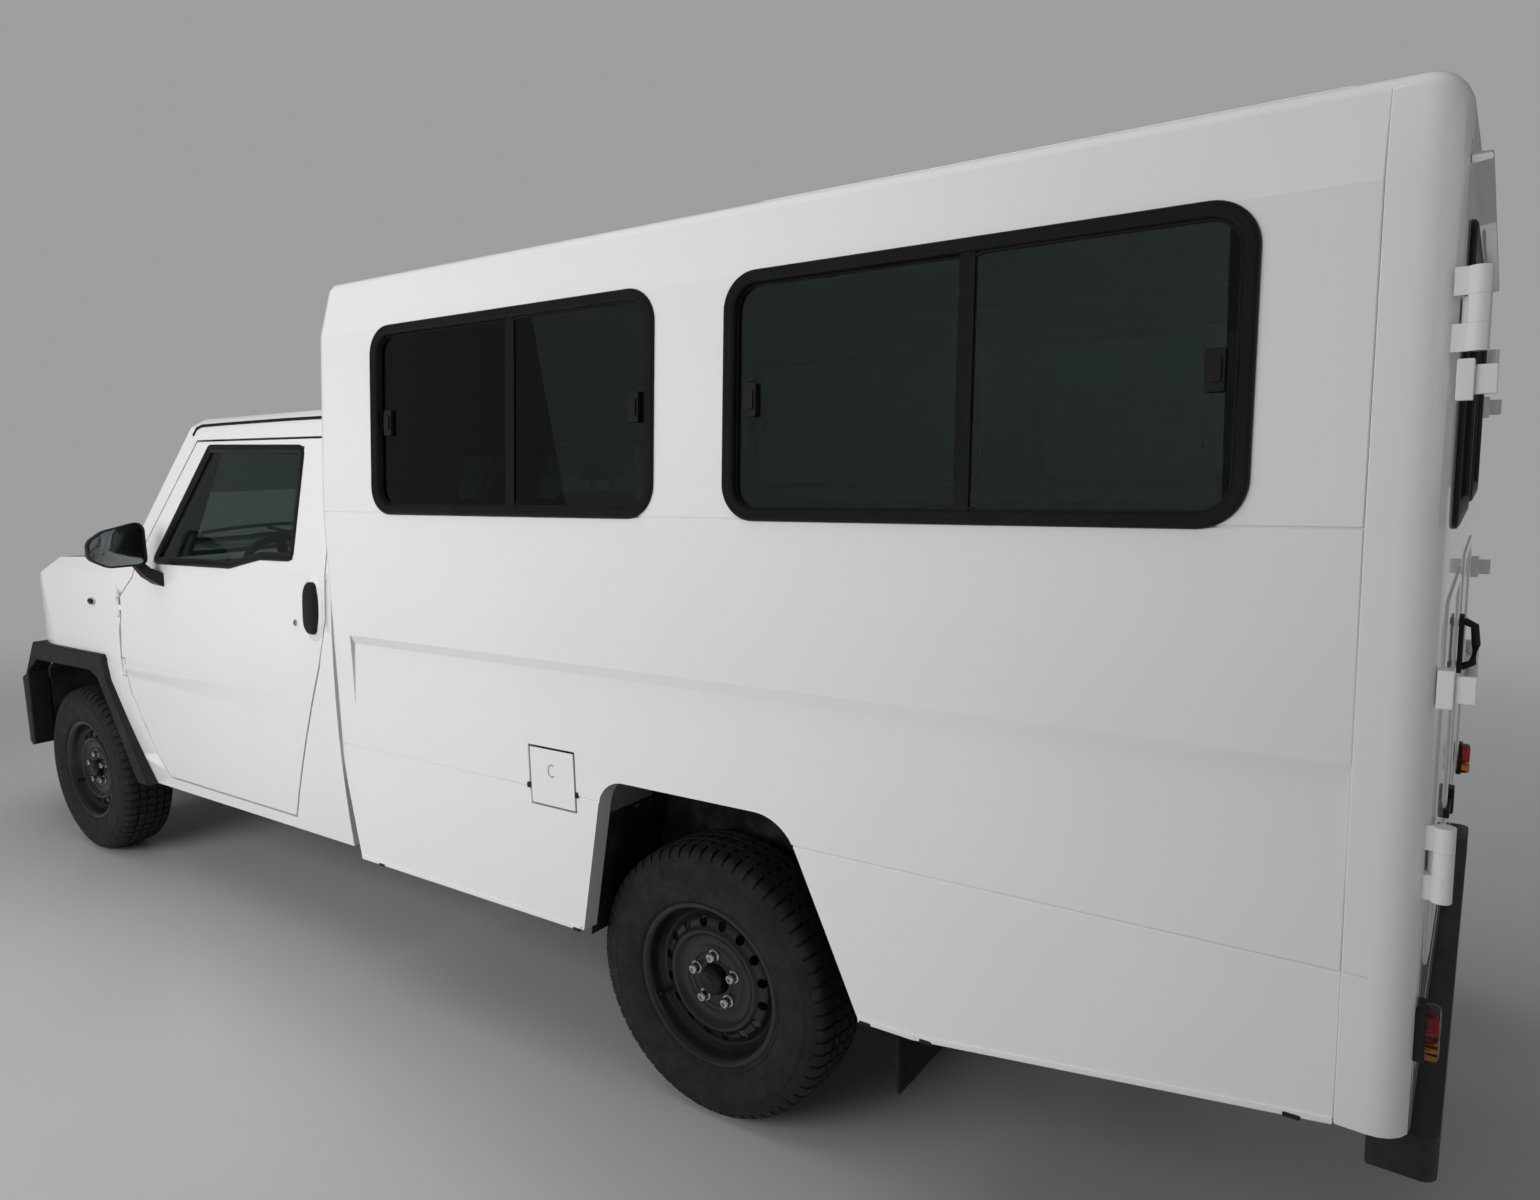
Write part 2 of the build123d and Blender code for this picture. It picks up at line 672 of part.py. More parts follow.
tip_radius = 27.0
tip_long = 90.0
tip_lead = 40.0
pipe_high_z = 452.0
pipe_low_z = 335.0
pipe_x = -215.0
pipe_radius = 24.0
silencer_front_y = 250.0
silencer_rear_y = 640.0
silencer_half = 75.0
silencer_low_z = 390.0
silencer_high_z = 495.0
silencer_round = 30.0


def exhaust_front():
    return rod((pipe_x, engine_rear_y, pipe_high_z), (pipe_x, silencer_front_y, pipe_high_z), pipe_radius)


def silencer():
    box = block(pipe_x - silencer_half, pipe_x + silencer_half, silencer_front_y, silencer_rear_y,
                silencer_low_z, silencer_high_z)
    return fillet(box.edges().filter_by(Axis.Y), silencer_round)


def exhaust():
    # the tail pipe: over the axle and the spare wheel, then down and out under the rear beam
    drop_y = spare_y + tyre_radius + 15
    tip_y = box_rear_y - 12
    low_y = tip_y - tip_long - tip_lead
    pipe = rod((pipe_x, silencer_rear_y, pipe_high_z), (pipe_x, drop_y, pipe_high_z), pipe_radius)
    pipe = pipe + Pos(pipe_x, drop_y, pipe_high_z) * Sphere(pipe_radius)
    pipe = pipe + rod((pipe_x, drop_y, pipe_high_z), (pipe_x, low_y, pipe_low_z), pipe_radius)
    pipe = pipe + Pos(pipe_x, low_y, pipe_low_z) * Sphere(pipe_radius)
    pipe = pipe + rod((pipe_x, low_y, pipe_low_z), (pipe_x, tip_y - tip_long + 5, pipe_low_z), pipe_radius)
    pipe = pipe + rod((pipe_x, tip_y - tip_long, pipe_low_z), (pipe_x, tip_y, pipe_low_z), tip_radius)
    pipe = pipe - rod((pipe_x, tip_y - tip_long + 30, pipe_low_z), (pipe_x, tip_y + 1, pipe_low_z), tip_radius - 3)
    for y in (silencer_rear_y + 60, 1700):
        pipe = pipe + block(pipe_x - 20, pipe_x + 20, y - 15, y + 15, 450, rail_low_z + 60)
    return pipe


# Inside the cab
def cab_seats():
    out = None
    for sign in (1, -1):
        x0, x1 = sign * 165, sign * 655
        y = cab_rear_y
        seat = block(x0, x1, y - 727, y - 227, cab_floor_z, 800) + block(x0, x1, y - 747, y - 217, 800, 920)
        back = side_prism([(y - 277, 900), (y - 137, 900), (y - 62, 1440), (y - 162, 1440)], x0, x1)
        head = block(sign * 300, sign * 520, y - 157, y - 72, 1460, 1610)
        posts = block(sign * 350, sign * 362, y - 119, y - 107, 1430, 1470)
        posts = posts + block(sign * 458, sign * 470, y - 119, y - 107, 1430, 1470)
        part = seat + back + head + posts
        out = part if out is None else out + part
    return out


wheel_tilt_deg = 32.0
steer_x = 410.0
steer_y = -985.0
steer_z = 1120.0


def steering_place():
    # local z points up the column to the driver
    return Pos(steer_x, steer_y, steer_z) * Rot(-(90 - wheel_tilt_deg), 0, 0)


def dashboard():
    y0 = cowl_y + cab_wall
    top = block(-735, 735, y0, -1150, 905, 1175)
    panel = top & cab_solid(cab_wall + 0.5, cab_floor_z)
    panel = panel + (block(-735, 735, y0, y0 + 60, 905, 1160) & cab_solid(cab_wall, cab_floor_z))
    column = steering_place() * (Pos(0, 0, -150) * Cylinder(26, 240) + Pos(0, 0, -15) * Cylinder(9, 60))
    return panel + column


def steering_wheel():
    ring = Torus(188, 14)
    hub = Cylinder(48, 40) - Pos(0, 0, -10) * Cylinder(9 + run_gap, 60)
    spokes = Box(360, 34, 12) + Pos(0, -95, 0) * Box(34, 180, 12)
    wheel = ring + hub + (spokes - Cylinder(40, 60))
    return steering_place() * wheel


# Outside trim
def bumper_face():
    half, round_r, front = 878.0, 470.0, -2675.0
    cy = front + round_r
    cx = half - round_r
    k = round_r * math.sqrt(0.5)
    back = front_axle_y - 428
    return make_face(Curve() + [
        Line((half, back + 400), (half, cy)),
        ThreePointArc((half, cy), (cx + k, cy - k), (cx, front)),
        Line((cx, front), (-cx, front)),
        ThreePointArc((-cx, front), (-cx - k, cy - k), (-half, cy)),
        Line((-half, cy), (-half, back + 400)),
        Line((-half, back + 400), (half, back + 400)),
    ])


def front_bumper(nose):
    body = Pos(0, 0, 430) * extrude(bumper_face(), 265)
    body = body & block(-900, 900, -2700, front_axle_y - 428, 400, 700)
    body = body - nose
    return body


flare_outline = [(-428, 430), (-428, 700), (-300, 872), (300, 872), (325, 774), (563, 410), (480, 410), (-380, 410)]


def wing_flares(bodies):
    out = None
    for sign in (1, -1):
        ring = side_prism([(front_axle_y + a, b) for a, b in flare_outline], sign * 800, sign * 876)
        ring = ring - front_house(sign * 700, sign * 900)
        ring = ring - block(sign * 700, sign * 900, front_axle_y - 420, front_axle_y + 400, 300, 430.0)
        for body in bodies:
            ring = ring - body
        out = ring if out is None else out + ring
    return out


lamp_zone = (500.0, 870.0, -2540.0, -2262.0, 770.0, 950.0)
grille_zone = (-486.0, 486.0, -2540.0, -2470.0, 745.0, 930.0)


def lamps_and_grille(nose):
    x0, x1, y0, y1, z0, z1 = lamp_zone
    lamps = None
    for sign in (1, -1):
        one = nose & block(sign * (x0 + 3), sign * x1, y0, y1, z0 + 3, z1 - 3)
        lamps = one if lamps is None else lamps + one
    x0, x1, y0, y1, z0, z1 = grille_zone
    grille = nose & block(x0 + 3, x1 - 3, y0, y1, z0 + 3, z1 - 3)
    for k in range(5):
        z = z0 + 26 + k * 33
        grille = grille - block(-450, 450, y0, y1 - 12, z, z + 20)
    return lamps, grille


def side_glazing():
    frames = None
    panes = None
    x_in, x_out = box_half_width - box_wall, box_half_width + 5
    for sign in (1, -1):
        for a, b in side_windows:
            y0, y1 = box_front_y + a, box_front_y + b
            mid = (y0 + y1) / 2 + 35
            hole = side_prism_of(window_face(y0, y1, frame_wide), sign * (x_in - 5), sign * (x_out + 5))
            frame = side_prism_of(window_face(y0, y1), sign * x_in, sign * x_out) - hole
            bar = block(sign * (x_in + 12), sign * (x_out - 8), mid - 20, mid + 20,
                        window_low_z + 10, window_high_z - 10)
            frame = frame + (bar & side_prism_of(window_face(y0, y1, 5), sign * x_in, sign * x_out))
            pane = side_prism_of(window_face(y0, y1, frame_wide), sign * (x_in + 24), sign * (x_in + 29)) - bar
            frame = lean(frame, sign)
            pane = lean(pane, sign)
            frames = frame if frames is None else frames + frame
            panes = pane if panes is None else panes + pane
    y = box_front_y + box_wall / 2
    panes = panes + block(-430, 430, y - 3, y + 3, 1330, 1600)
    return frames, panes


def benches():
    base = None
    soft = None
    half = box_half_width - box_wall
    inner = aisle_half + 40
    y0, y1 = box_front_y + 122, rear_seam_y - 120
    for sign in (1, -1):
        one = block(sign * inner, sign * (inner + 20), y0, y1, floor_top_z, 1030)
        one = one + block(sign * inner, sign * half, y0, y1, 1010, 1030)
        base = one if base is None else base + one
        pad = block(sign * (inner - 10), sign * (half - 70), y0, y1, 1030.5, 1110)
        rest = block(sign * (half - 65), sign * (half - 0.5), y0, y1, 1120, 1385)
        soft = pad + rest if soft is None else soft + pad + rest
    return base, soft


def mirrors(sign, skin_body):
    head = block(sign * 872, sign * 1072, -1135, -1085, 1215, 1385)
    head = fillet(head.edges().filter_by(Axis.Y), 26)
    arm = side_bar((sign * 800, -1108, 1150), (sign * 930, -1112, 1235), 26)
    foot = block(sign * 800, sign * 868, -1150, -1070, 1120, 1180)
    return (head + arm + foot) - skin_body


flap_place = (766.0, 923.0, 707.0, 857.0)
flap_pivot_z = 755.0


def fuel_parts(side):
    # pocket in the left side, its cup and neck, and the flap turning on two stub pins
    y0, y1, z0, z1 = flap_place
    x_out = box_half_width
    side = side - block(x_out - 80, x_out + 10, y0, y1, z0, z1)
    cup = block(x_out - 80, x_out - box_wall, y0 - 6, y1 + 6, z0 - 6, z1 + 6)
    cup = cup - block(x_out - 74, x_out, y0, y1, z0, z1)
    cap = rod((x_out - 75, (y0 + y1) / 2, 800), (x_out - 40, (y0 + y1) / 2, 800), 32)
    neck = cup + cap
    plate = block(x_out - 5, x_out, y0 + panel_gap, y1 - panel_gap, z0 + panel_gap, z1 - panel_gap)
    pin_x = x_out - 8
    for y in (y0, y1):
        toward = 1 if y == y0 else -1
        side = side + rod((pin_x, y - toward * 4, flap_pivot_z), (pin_x, y + toward * 12, flap_pivot_z), 3)
    lugs = block(pin_x - 6, x_out - 4, y0 + panel_gap, y0 + 13, flap_pivot_z - 6, flap_pivot_z + 6)
    lugs = lugs + block(pin_x - 6, x_out - 4, y1 - 13, y1 - panel_gap, flap_pivot_z - 6, flap_pivot_z + 6)
    flap = plate + lugs - rod((pin_x, y0 - 10, flap_pivot_z), (pin_x, y1 + 10, flap_pivot_z), 3 + run_gap)
    return side, neck, flap


def rear_lamps():
    one = block(box_half_width - 88, box_half_width - 43, box_rear_y - 4, box_rear_y + 31, 619, 698)
    one = fillet(one.edges().filter_by(Axis.Z).group_by(Axis.Y)[-1], 8)
    return both(one)


bumper_out = 37.77


def rear_bumper():
    half = box_half_width - 85
    beam = block(-half, half, box_rear_y - 60, box_rear_y + bumper_out, 400, 475)
    beam = fillet(beam.edges().filter_by(Axis.Z).group_by(Axis.Y)[-1], 25)
    x0, x1 = rail_x - rail_wide / 2, rail_x + rail_wide / 2
    return beam + both(block(x0, x1, rear_seam_y, box_rear_y - 60, rail_low_z, 475))


def mud_flaps():
    y = rear_axle_y + 505
    return both(block(606, box_half_width - 57, y, y + 8, 245, floor_top_z - floor_thick))


# Bonnet hinges lie along the cowl, the pin across the van
bonnet_hinge_y = cowl_y - 8
bonnet_hinge_x = 560.0


def add_bonnet_hinges(shell, bonnet):
    z = 1234.0 - 9
    for sign in (1, -1):
        x = sign * bonnet_hinge_x
        pin = rod((x - 30, bonnet_hinge_y, z), (x + 30, bonnet_hinge_y, z), 4)
        fixed = pin
        for dx in (-20, 20):
            ring = rod((x + dx - 10, bonnet_hinge_y, z), (x + dx + 10, bonnet_hinge_y, z), 7)
            web = block(x + dx - 10, x + dx + 10, bonnet_hinge_y, cowl_y + 3, z - 5, z + 5)
            fixed = fixed + ring + web
        moving = rod((x - 9.7, bonnet_hinge_y, z), (x + 9.7, bonnet_hinge_y, z), 7)
        moving = moving + block(x - 9.7, x + 9.7, bonnet_hinge_y - 12, bonnet_hinge_y, z - 5, z + 5)
        moving = moving - rod((x - 40, bonnet_hinge_y, z), (x + 40, bonnet_hinge_y, z), 4 + run_gap)
        bonnet = bonnet + moving
        shell = shell + fixed
    return shell, bonnet


def assemble():
    nodes = {}
    sides, roof, front, rear = make_box()
    shell, cab_door_l, screen, rear_glass = make_cab()
    wings, bonnet = make_nose()
    nose = nose_solid()
    shell, cab_door_l = add_door_hinges(shell, cab_door_l)
    shell, bonnet = add_bonnet_hinges(shell, bonnet)
    lamps, grille = lamps_and_grille(nose)
    for sign in (1, -1):
        x0, x1, y0, y1, z0, z1 = lamp_zone
        wings = wings - block(sign * x0, sign * x1, y0, y1, z0, z1)
        wings = wings - block(sign * (bay_half - 10), sign * (bay_half + 30), front_axle_y - 200,
                              front_axle_y + 200, 300, 600)
    wings = wings - block(*grille_zone)
    rear_door_l, rear_glass_l, rear_hinge_l = rear_door()
    rear = rear + rear_hinge_l + mirrored(rear_hinge_l) - rear_lamps()
    sides["left"], neck, flap = fuel_parts(sides["left"])
    frames, panes = side_glazing()
    bench_base, bench_soft = benches()
    outer = cab_solid(0, cab_sill_z)
    nodes["frame_rails"] = frame_rails()
    nodes["cross_members"] = cross_members()
    nodes["cab_shell"] = shell
    nodes["cab_glass"] = screen + rear_glass
    nodes["nose_wings"] = wings
    nodes["front_bumper"] = front_bumper(nose)
    nodes["wing_flares"] = wing_flares([nose, outer])
    nodes["headlamps"] = lamps
    nodes["grille"] = grille
    nodes["powertrain"] = powertrain()
    nodes["exhaust_front"] = exhaust_front()
    nodes["silencer"] = silencer()
    nodes["exhaust"] = exhaust()
    nodes["fuel_tank"] = fuel_tank()
    nodes["fuel_neck"] = neck
    nodes["load_floor"] = load_floor()
    nodes["wheel_boxes"] = wheel_boxes()
    nodes["box_side_left"] = sides["left"]
    nodes["box_side_right"] = sides["right"]
    nodes["box_front_wall"] = front
    nodes["box_roof"] = roof
    nodes["box_rear_frame"] = rear
    nodes["window_frames"] = frames
    nodes["window_panes"] = panes
    nodes["bench_bases"] = bench_base
    nodes["bench_cushions"] = bench_soft
    nodes["cab_seats"] = cab_seats()
    nodes["dashboard"] = dashboard()
    nodes["rear_axle"] = rear_axle()
    nodes["rear_springs"] = rear_springs()
    nodes["front_arms"] = front_arms()
    nodes["spare_wheel"] = spare_wheel()
    nodes["rear_lamps"] = rear_lamps()
    nodes["rear_bumper"] = rear_bumper()
    nodes["mud_flaps"] = mud_flaps()
    nodes["steering_wheel"] = steering_wheel()
    nodes["bonnet"] = bonnet
    nodes["fuel_flap"] = flap
    for name, sign in (("left", 1), ("right", -1)):
        nodes["cab_door_" + name] = cab_door_l if sign > 0 else mirrored(cab_door_l)
        nodes["cab_door_glass_" + name] = door_glass(sign)
        nodes["mirror_" + name] = mirrors(sign, outer)
        nodes["rear_door_" + name] = rear_door_l if sign > 0 else mirrored(rear_door_l)
        nodes["rear_door_glass_" + name] = rear_glass_l if sign > 0 else mirrored(rear_glass_l)
        nodes["knuckle_" + name] = knuckle(sign)
        for place, is_front in (("front", True), ("rear", False)):
            rim, tyre = make_wheel(is_front, sign)
            nodes["rim_" + place + "_" + name] = rim
            nodes["tyre_" + place + "_" + name] = tyre
    return nodes


os.makedirs("parts", exist_ok=True)
tip = Pos(0, rear_axle_y + centre_shift, tyre_radius) * Rot(rake_deg, 0, 0) * Pos(0, -rear_axle_y, -tyre_radius)
for name, shape in assemble().items():
    export_step(tip * shape, "parts/" + name + ".step")
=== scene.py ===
import bmesh
import bpy
import json
import math
from mathutils import Matrix, Vector

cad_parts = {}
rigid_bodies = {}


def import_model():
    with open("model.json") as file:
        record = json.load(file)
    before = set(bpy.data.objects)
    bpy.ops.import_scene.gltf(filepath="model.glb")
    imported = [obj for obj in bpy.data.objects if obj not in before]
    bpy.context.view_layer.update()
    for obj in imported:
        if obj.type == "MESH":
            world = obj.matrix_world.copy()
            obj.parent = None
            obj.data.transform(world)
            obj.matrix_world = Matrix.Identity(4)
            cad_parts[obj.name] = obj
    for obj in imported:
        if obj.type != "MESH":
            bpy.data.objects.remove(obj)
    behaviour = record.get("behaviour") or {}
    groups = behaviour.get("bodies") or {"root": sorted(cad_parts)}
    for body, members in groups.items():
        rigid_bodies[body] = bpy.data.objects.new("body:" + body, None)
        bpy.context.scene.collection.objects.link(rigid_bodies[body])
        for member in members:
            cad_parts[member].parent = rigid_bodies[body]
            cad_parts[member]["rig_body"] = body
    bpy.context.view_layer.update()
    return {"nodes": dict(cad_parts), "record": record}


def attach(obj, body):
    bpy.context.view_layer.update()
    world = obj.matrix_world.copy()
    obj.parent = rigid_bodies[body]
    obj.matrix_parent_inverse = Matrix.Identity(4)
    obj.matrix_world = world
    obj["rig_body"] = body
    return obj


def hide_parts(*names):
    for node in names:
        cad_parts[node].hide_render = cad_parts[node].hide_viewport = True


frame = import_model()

scene = bpy.context.scene
nodes = frame["nodes"]
print("frame loaded:", len(nodes), "nodes")

# the body was drawn level in millimetres and tipped nose-down about the rear axle
stance = {"rakeDeg": 0.877, "rearAxleY": 1237.0, "tyreRadius": 328.0, "shiftY": 9.329, "wheelBase": 3085.0,
          "frontTrack": 1515.0, "rearTrack": 1450.0}
rake = math.radians(stance["rakeDeg"])
rearY, rollR = stance["rearAxleY"], stance["tyreRadius"]
frontY = rearY - stance["wheelBase"] * math.cos(rake)
frontZ = rollR + stance["wheelBase"] * math.sin(rake)
tip = (Matrix.Scale(0.001, 4) @ Matrix.Translation((0, rearY + stance["shiftY"], rollR))
       @ Matrix.Rotation(rake, 4, "X") @ Matrix.Translation((0, -rearY, -rollR)))


# shader maths
class Wire:
    def __init__(self, maker, socket):
        self.maker = maker
        self.socket = socket

    def join(self, operation, left, right):
        return self.maker.node("ShaderNodeMath", {"operation": operation}, {0: left, 1: right})

    def __add__(self, other):
        return self.join("ADD", self, other)

    def __radd__(self, other):
        return self.join("ADD", other, self)

    def __sub__(self, other):
        return self.join("SUBTRACT", self, other)

    def __rsub__(self, other):
        return self.join("SUBTRACT", other, self)

    def __mul__(self, other):
        return self.join("MULTIPLY", self, other)

    def __rmul__(self, other):
        return self.join("MULTIPLY", other, self)

    def __truediv__(self, other):
        return self.join("DIVIDE", self, other)

    def __pow__(self, other):
        return self.join("POWER", self, other)


class Finish:
    def __init__(self, name, **fixed):
        self.mat = bpy.data.materials.new(name)
        self.mat.use_nodes = True
        self.tree = self.mat.node_tree
        self.tree.nodes.clear()
        self.shader = self.tree.nodes.new("ShaderNodeBsdfPrincipled")
        self.end = self.tree.nodes.new("ShaderNodeOutputMaterial")
        self.tree.links.new(self.shader.outputs[0], self.end.inputs[0])
        for key, value in fixed.items():
            self.shader.inputs[socketNames[key]].default_value = value

    def node(self, kind, settings=None, inputs=None, output=0):
        made = self.tree.nodes.new(kind)
        for key, value in (settings or {}).items():
            if key == "stops":
                ramp = made.color_ramp
                while len(ramp.elements) < len(value):
                    ramp.elements.new(0.5)
                for element, (place, colour) in zip(ramp.elements, value):
                    element.position = place
                    element.color = (*colour, 1.0) if len(colour) == 3 else colour
            else:
                setattr(made, key, value)
        for key, value in (inputs or {}).items():
            if isinstance(value, Wire):
                self.tree.links.new(value.socket, made.inputs[key])
            else:
                made.inputs[key].default_value = value
        return Wire(self, made.outputs[output])

    def feed(self, name, wire):
        self.tree.links.new(wire.socket, self.shader.inputs[name])

    def place(self, scale=(1, 1, 1)):
        spot = self.node("ShaderNodeTexCoord", output=3)
        return self.node("ShaderNodeMapping", {}, {"Vector": spot, "Scale": scale})

    def noise(self, size, detail=3.0, rough=0.5, stretch=(1, 1, 1)):
        return self.node("ShaderNodeTexNoise", {}, {"Vector": self.place(stretch), "Scale": 1.0 / size,
                                                     "Detail": detail, "Roughness": rough})

    def cells(self, size, feature="F1", stretch=(1, 1, 1)):
        return self.node("ShaderNodeTexVoronoi", {"feature": feature},
                         {"Vector": self.place(stretch), "Scale": 1.0 / size})

    def tint(self, factor, low, high):
        # a colour that runs from low to high
        return self.node("ShaderNodeMix", {"data_type": "RGBA"}, {0: factor, 6: (*low, 1), 7: (*high, 1)}, 2)

    def span(self, wire, low, high, inLow=0.3, inHigh=0.7):
        return self.node("ShaderNodeMapRange", {}, {0: wire, 1: inLow, 2: inHigh, 3: low, 4: high})

    def bump(self, height, depth, strength=1.0):
        self.feed("Normal", self.node("ShaderNodeBump", {}, {"Height": height, "Distance": depth,
                                                              "Strength": strength}))


socketNames = {"colour": "Base Color", "metal": "Metallic", "rough": "Roughness", "coat": "Coat Weight",
               "coatRough": "Coat Roughness", "ior": "IOR", "clear": "Transmission Weight",
               "sheen": "Sheen Weight", "sheenRough": "Sheen Roughness", "specular": "Specular IOR Level",
               "glow": "Emission Strength"}
finishes = {}


def paintFinish(name, colour, rough=0.32, coat=1.0, drift=0.015, peel=0.00002):
    f = Finish(name, coat=coat, coatRough=0.04, rough=rough)
    patch = f.noise(0.6, 2.0)
    dark = tuple(c * (1 - drift * 2) for c in colour)
    f.feed("Base Color", f.tint(f.span(patch, 0.0, 1.0), dark, colour))
    f.feed("Roughness", f.span(f.noise(0.05, 4.0), rough - 0.04, rough + 0.06))
    f.bump(f.noise(0.006, 2.0), peel)
    finishes[name] = f.mat


def plasticFinish(name, colour, rough, grain, depth, lift=1.6, shine=0.5):
    f = Finish(name, rough=rough, specular=shine)
    pale = tuple(min(1.0, c * lift) for c in colour)
    f.feed("Base Color", f.tint(f.span(f.noise(0.12, 5.0), 0.0, 1.0), colour, pale))
    f.feed("Roughness", f.span(f.noise(0.03, 4.0), rough - 0.06, rough + 0.08))
    f.bump(f.cells(grain, "SMOOTH_F1") + f.noise(grain * 0.6, 3.0) * 0.5, depth)
    finishes[name] = f.mat


def metalFinish(name, colour, rough, metal=1.0, brushed=(1, 1, 1), depth=0.00003):
    f = Finish(name, metal=metal)
    streak = f.noise(0.004, 4.0, stretch=brushed)
    f.feed("Base Color", f.tint(f.span(f.noise(0.08, 4.0), 0.0, 1.0), tuple(c * 0.8 for c in colour), colour))
    f.feed("Roughness", f.span(streak, rough - 0.07, rough + 0.1))
    f.bump(streak, depth)
    finishes[name] = f.mat


def roadFinish(name, colour, rough):
    # black chassis paint with a light film of road dust in scattered patches
    f = Finish(name)
    dust = f.span(f.noise(0.09, 6.0, 0.6), 0.0, 1.0, 0.45, 0.75)
    f.feed("Base Color", f.tint(dust * 0.5, colour, (0.09, 0.085, 0.075)))
    f.feed("Roughness", f.span(dust, rough, rough + 0.3, 0.0, 1.0))
    f.bump(f.noise(0.003, 4.0), 0.00012)
    finishes[name] = f.mat


def tyreFinish():
    f = Finish("tyreRubber", specular=0.35)
    dust = f.span(f.noise(0.05, 6.0, 0.62), 0.0, 1.0, 0.42, 0.8)
    f.feed("Base Color", f.tint(dust * 0.6, (0.013, 0.013, 0.014), (0.035, 0.034, 0.032)))
    f.feed("Roughness", f.span(f.noise(0.02, 4.0), 0.55, 0.78))
    f.bump(f.noise(0.0015, 3.0), 0.00008)
    finishes["tyreRubber"] = f.mat


def glassFinish(name, colour, rough=0.0, ior=1.45):
    f = Finish(name, clear=1.0, ior=ior, rough=rough)
    smear = f.span(f.noise(0.35, 5.0, 0.6, (1, 1, 0.5)), 0.0, 1.0, 0.5, 0.85)
    f.feed("Base Color", f.tint(smear, colour, tuple(min(1.0, c * 1.08) for c in colour)))
    f.feed("Roughness", smear * 0.03 + rough)
    finishes[name] = f.mat


def clothFinish(name, colour, accent, thread):
    f = Finish(name, rough=0.85, sheen=0.35, sheenRough=0.5, specular=0.2)
    warp = f.node("ShaderNodeTexWave", {"wave_type": "BANDS", "bands_direction": "X"},
                  {"Vector": f.place(), "Scale": 0.31 / thread, "Distortion": 0.4, "Detail": 2.0}, 1)
    weft = f.node("ShaderNodeTexWave", {"wave_type": "BANDS", "bands_direction": "Y"},
                  {"Vector": f.place(), "Scale": 0.31 / thread, "Distortion": 0.4, "Detail": 2.0}, 1)
    weave = warp * weft
    fleck = f.span(f.noise(0.004, 4.0), 0.0, 1.0)
    f.feed("Base Color", f.tint(weave * 0.6 + fleck * 0.4, colour, accent))
    f.bump(weave + fleck * 0.3, 0.0005)
    finishes[name] = f.mat


def vinylFinish(name, colour, rough=0.42):
    f = Finish(name, coat=0.15, coatRough=0.3)
    grain = f.cells(0.0035, "DISTANCE_TO_EDGE")
    crease = f.noise(0.02, 5.0, 0.6)
    f.feed("Base Color", f.tint(f.span(crease, 0.0, 1.0), colour, tuple(c * 1.5 for c in colour)))
    f.feed("Roughness", f.span(crease, rough - 0.06, rough + 0.12))
    f.bump(f.span(grain, 0.0, 1.0, 0.0, 0.25) + crease * 0.5, 0.0003)
    finishes[name] = f.mat


paintFinish("bodyPaint", (0.80, 0.805, 0.785))
paintFinish("innerPaint", (0.58, 0.59, 0.58), 0.4, 0.6)
paintFinish("greyPaint", (0.36, 0.37, 0.37), 0.5, 0.2)
# body colour darkened to dark grey: painted shade for the rear arch's return
paintFinish("archPaint", (0.20, 0.205, 0.21), 0.45, 0.3)
paintFinish("wheelBlack", (0.009, 0.009, 0.010), 0.34, 0.35, 0.1, 0.00005)
roadFinish("chassisBlack", (0.012, 0.012, 0.013), 0.45)
roadFinish("linerBlack", (0.008, 0.008, 0.008), 0.6)
plasticFinish("blackPlastic", (0.011, 0.0113, 0.0117), 0.5, 0.0014, 0.00012, 1.5, 0.3)
plasticFinish("glossBlack", (0.007, 0.007, 0.008), 0.22, 0.004, 0.00001, 1.4, 0.35)
plasticFinish("greyPlastic", (0.10, 0.10, 0.105), 0.55, 0.0018, 0.0002)
plasticFinish("windowRubber", (0.007, 0.007, 0.0075), 0.42, 0.004, 0.00003, 1.4, 0.25)
plasticFinish("mudRubber", (0.010, 0.010, 0.010), 0.7, 0.002, 0.00015, 1.5, 0.3)
tyreFinish()
glassFinish("darkGlass", (0.075, 0.11, 0.10))
glassFinish("cabGlass", (0.30, 0.38, 0.36))
glassFinish("lampClear", (0.95, 0.97, 0.97), 0.02)
glassFinish("lampRed", (0.42, 0.012, 0.012), 0.05)
glassFinish("lampAmber", (0.62, 0.20, 0.02), 0.05)
metalFinish("chrome", (0.82, 0.83, 0.84), 0.1)
metalFinish("zinc", (0.80, 0.80, 0.79), 0.2)
metalFinish("engineMetal", (0.42, 0.42, 0.43), 0.5, 0.9)
metalFinish("exhaustSteel", (0.36, 0.34, 0.31), 0.42, 1.0, (1, 0.1, 1))
# mirror reflectance darkened to stand for the dark scene it reflects: painted shade on the reflection
metalFinish("mirrorGlass", (0.20, 0.22, 0.23), 0.08, 1.0, (1, 1, 1), 0.0)
clothFinish("seatCloth", (0.055, 0.056, 0.062), (0.16, 0.16, 0.17), 0.0022)
vinylFinish("benchVinyl", (0.03, 0.03, 0.033))
print("finishes made:", len(finishes))

slotFinish = {"body_paint": "bodyPaint", "inner_paint": "innerPaint", "chassis_black": "chassisBlack",
              "wheel_black": "wheelBlack", "black_plastic": "blackPlastic", "grey_plastic": "greyPlastic",
              "window_rubber": "windowRubber", "mud_rubber": "mudRubber", "tyre": "tyreRubber",
              "dark_glass": "darkGlass", "lamp_clear": "lampClear", "lamp_red": "lampRed",
              "engine_metal": "engineMetal", "exhaust_steel": "exhaustSteel", "seat_cloth": "seatCloth",
              "bench_vinyl": "benchVinyl"}
nodeSlot = {row["node"]: row["material_slot"] for row in frame["record"]["subparts"]}
for name, obj in nodes.items():
    finish = slotFinish[nodeSlot[name]]
    if name.startswith("cab_") and "glass" in name:
        finish = "cabGlass"
    obj.data.materials.clear()
    obj.data.materials.append(finishes[finish])
print("frame nodes finished")


